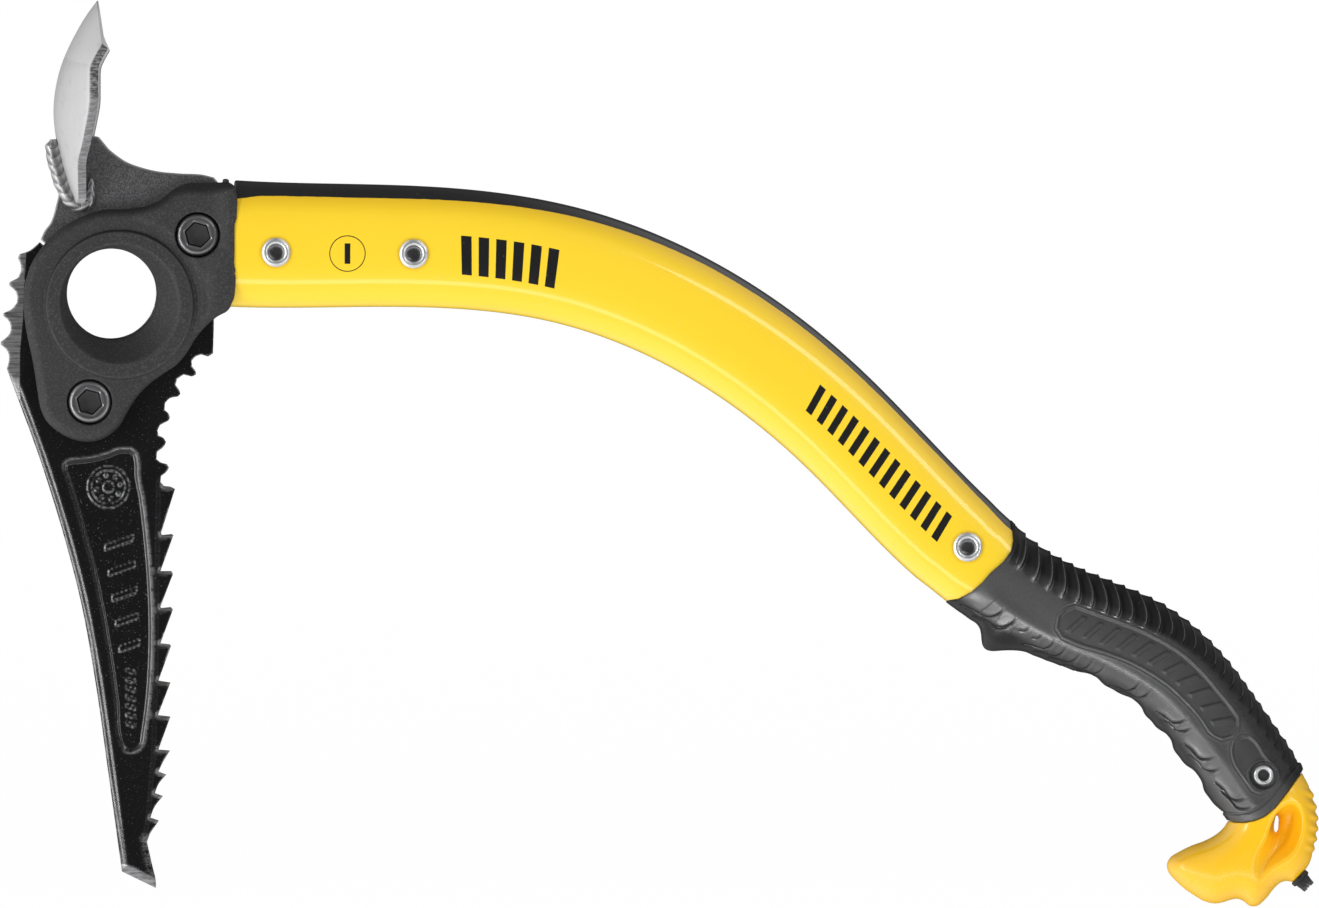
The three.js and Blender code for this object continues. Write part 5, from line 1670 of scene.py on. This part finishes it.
# ---------------------------------------------------------------------- stage
def pale_material():
    """Bright from its front, clear from behind."""
    material = bpy.data.materials.new("studio_pale")
    graph = Graph(material)
    diffuse = graph.add("BsdfDiffuse", {0: grey(0.08)})
    glow = graph.add("Emission", {"Color": grey(1), "Strength": 0.96})
    both = graph.add("AddShader", {0: diffuse, 1: glow})
    behind = graph.add("NewGeometry", {}, "Backfacing")
    clear = graph.add("BsdfTransparent", {})
    graph.add("OutputMaterial", {0: graph.add("MixShader", {0: behind, 1: both, 2: clear})})
    return material


def backdrop():
    """Round floor that curves up into a wall, seen by the camera only."""
    segments = 96
    floor_r, curve_r = 1.8, 1.2
    profile = [(0.6, 0.0), (1.2, 0.0), (floor_r, 0.0)]
    for degrees in np.linspace(0, 90, 19)[1:]:
        angle = math.radians(degrees)
        profile.append((floor_r + curve_r * math.sin(angle), curve_r * (1 - math.cos(angle))))
    profile += [(3.0, 2.0), (3.0, 3.2)]
    base = cad_box[0].z - 0.0005
    points = [(0, 0, base)]
    for size, z in profile:
        for k in range(segments):
            angle = 2 * math.pi * k / segments
            points.append((size * math.cos(angle), size * math.sin(angle), z + base))
    faces = [(0, 1 + k, 1 + (k + 1) % segments) for k in range(segments)]
    for i in range(len(profile) - 1):
        for k in range(segments):
            here = 1 + i * segments + k
            beside = 1 + i * segments + (k + 1) % segments
            faces.append((here, here + segments, beside + segments, beside))
    data = bpy.data.meshes.new("studio_floor")
    data.from_pydata(points, [], faces)
    data.polygons.foreach_set("use_smooth", [True] * len(data.polygons))
    data.update()
    ob = link("studio_floor", data)
    data.materials.append(pale_material())
    ob.visible_shadow = False
    ob.visible_diffuse = False
    ob.visible_glossy = False


def studio_world():
    """White to the camera; light mostly from below and low X, reflections dark along Y."""
    world = bpy.data.worlds.new("studio_world")
    bpy.context.scene.world = world
    graph = Graph(world, spare=0.5)
    direction = graph.add("SeparateXYZ", {0: graph.add("TexCoord", {}, "Generated")})
    x, y, z = (direction.output(axis) for axis in range(3))
    sideways = 1.0 - abs(y).ramp(0.45, 0.95)
    low = (z * -1.0).ramp(-0.1, 0.9)
    left = (x * -1.0).ramp(0.0, 0.9)
    high = z.ramp(0.0, 0.9)
    high_right = high * x.ramp(0.05, 0.5)
    # weight of each direction, then the level everywhere
    glossy = (low * 0.55 + left * 0.9) + (high_right * 0.75 + 0.08)
    glossy = glossy * sideways + 0.05
    diffuse = (low * 0.42 + left * 0.22) + (high * -0.34 + 0.62)
    for_camera = graph.add("Background", {"Color": grey(1), "Strength": 1.0})
    for_diffuse = graph.add("Background", {"Color": diffuse, "Strength": 0.93})
    for_glossy = graph.add("Background", {"Color": glossy, "Strength": 1.0})
    path = graph.add("LightPath", {})
    is_glossy, is_camera = path.output("Is Glossy Ray"), path.output("Is Camera Ray")
    light = graph.add("MixShader", {0: is_glossy, 1: for_diffuse, 2: for_glossy})
    seen = graph.add("MixShader", {0: is_camera, 1: light, 2: for_camera})
    graph.add("OutputWorld", {0: seen})


def softbox(name, at, width, height, power, target=(0.0, 0.0, 0.16)):
    data = bpy.data.lights.new(name, "AREA")
    data.shape = "RECTANGLE"
    data.size, data.size_y, data.energy = width, height, power
    ob = link(name, data)
    ob.location = at
    ob.rotation_mode = "QUATERNION"
    ob.rotation_quaternion = (Vector(target) - Vector(at)).to_track_quat("-Z", "Y")
    return ob


def lights():
    softbox("strip_high", at=(1.35, -1.60, 1.15), width=2.4, height=0.24, power=8)
    softbox("strip_low", at=(0.0, -1.73, -0.84), width=3.6, height=0.30, power=9)
    softbox("strip_left", at=(-1.53, -1.29, 0.1), width=0.14, height=1.8, power=12)
    softbox("strip_right", at=(1.45, -1.35, -0.2), width=0.08, height=1.5, power=4)
    # soft key for the rubber only, so its belly ridge reads
    key = softbox(
        "key_low", at=(-0.56, -1.62, -0.87), width=0.45, height=0.45, power=19,
        target=(0.14, 0.0, 0.07),
    )
    lit = bpy.data.collections.new("key_low_receivers")
    lit.objects.link(bpy.data.objects["grip_rubber_sleeve"])
    key.light_linking.receiver_collection = lit


def camera():
    """Long lens square to the near side."""
    view_width = 0.46165
    data = bpy.data.cameras.new("camera_main")
    data.sensor_width = 36.0
    data.lens = 900.0
    data.clip_start, data.clip_end = 0.1, 50
    ob = link("camera_main", data)
    distance = view_width * data.lens / data.sensor_width
    ob.location = ((191.3 + SHIFT_X) / 1000, -distance, (-54.95 + SHIFT_Z) / 1000)
    ob.rotation_mode = "QUATERNION"
    ob.rotation_quaternion = Vector((0, 1, 0)).to_track_quat("-Z", "Y")
    scene = bpy.context.scene
    scene.camera = ob
    scene.view_settings.view_transform = "Standard"
    scene.view_settings.look = "None"


backdrop()
studio_world()
lights()
camera()
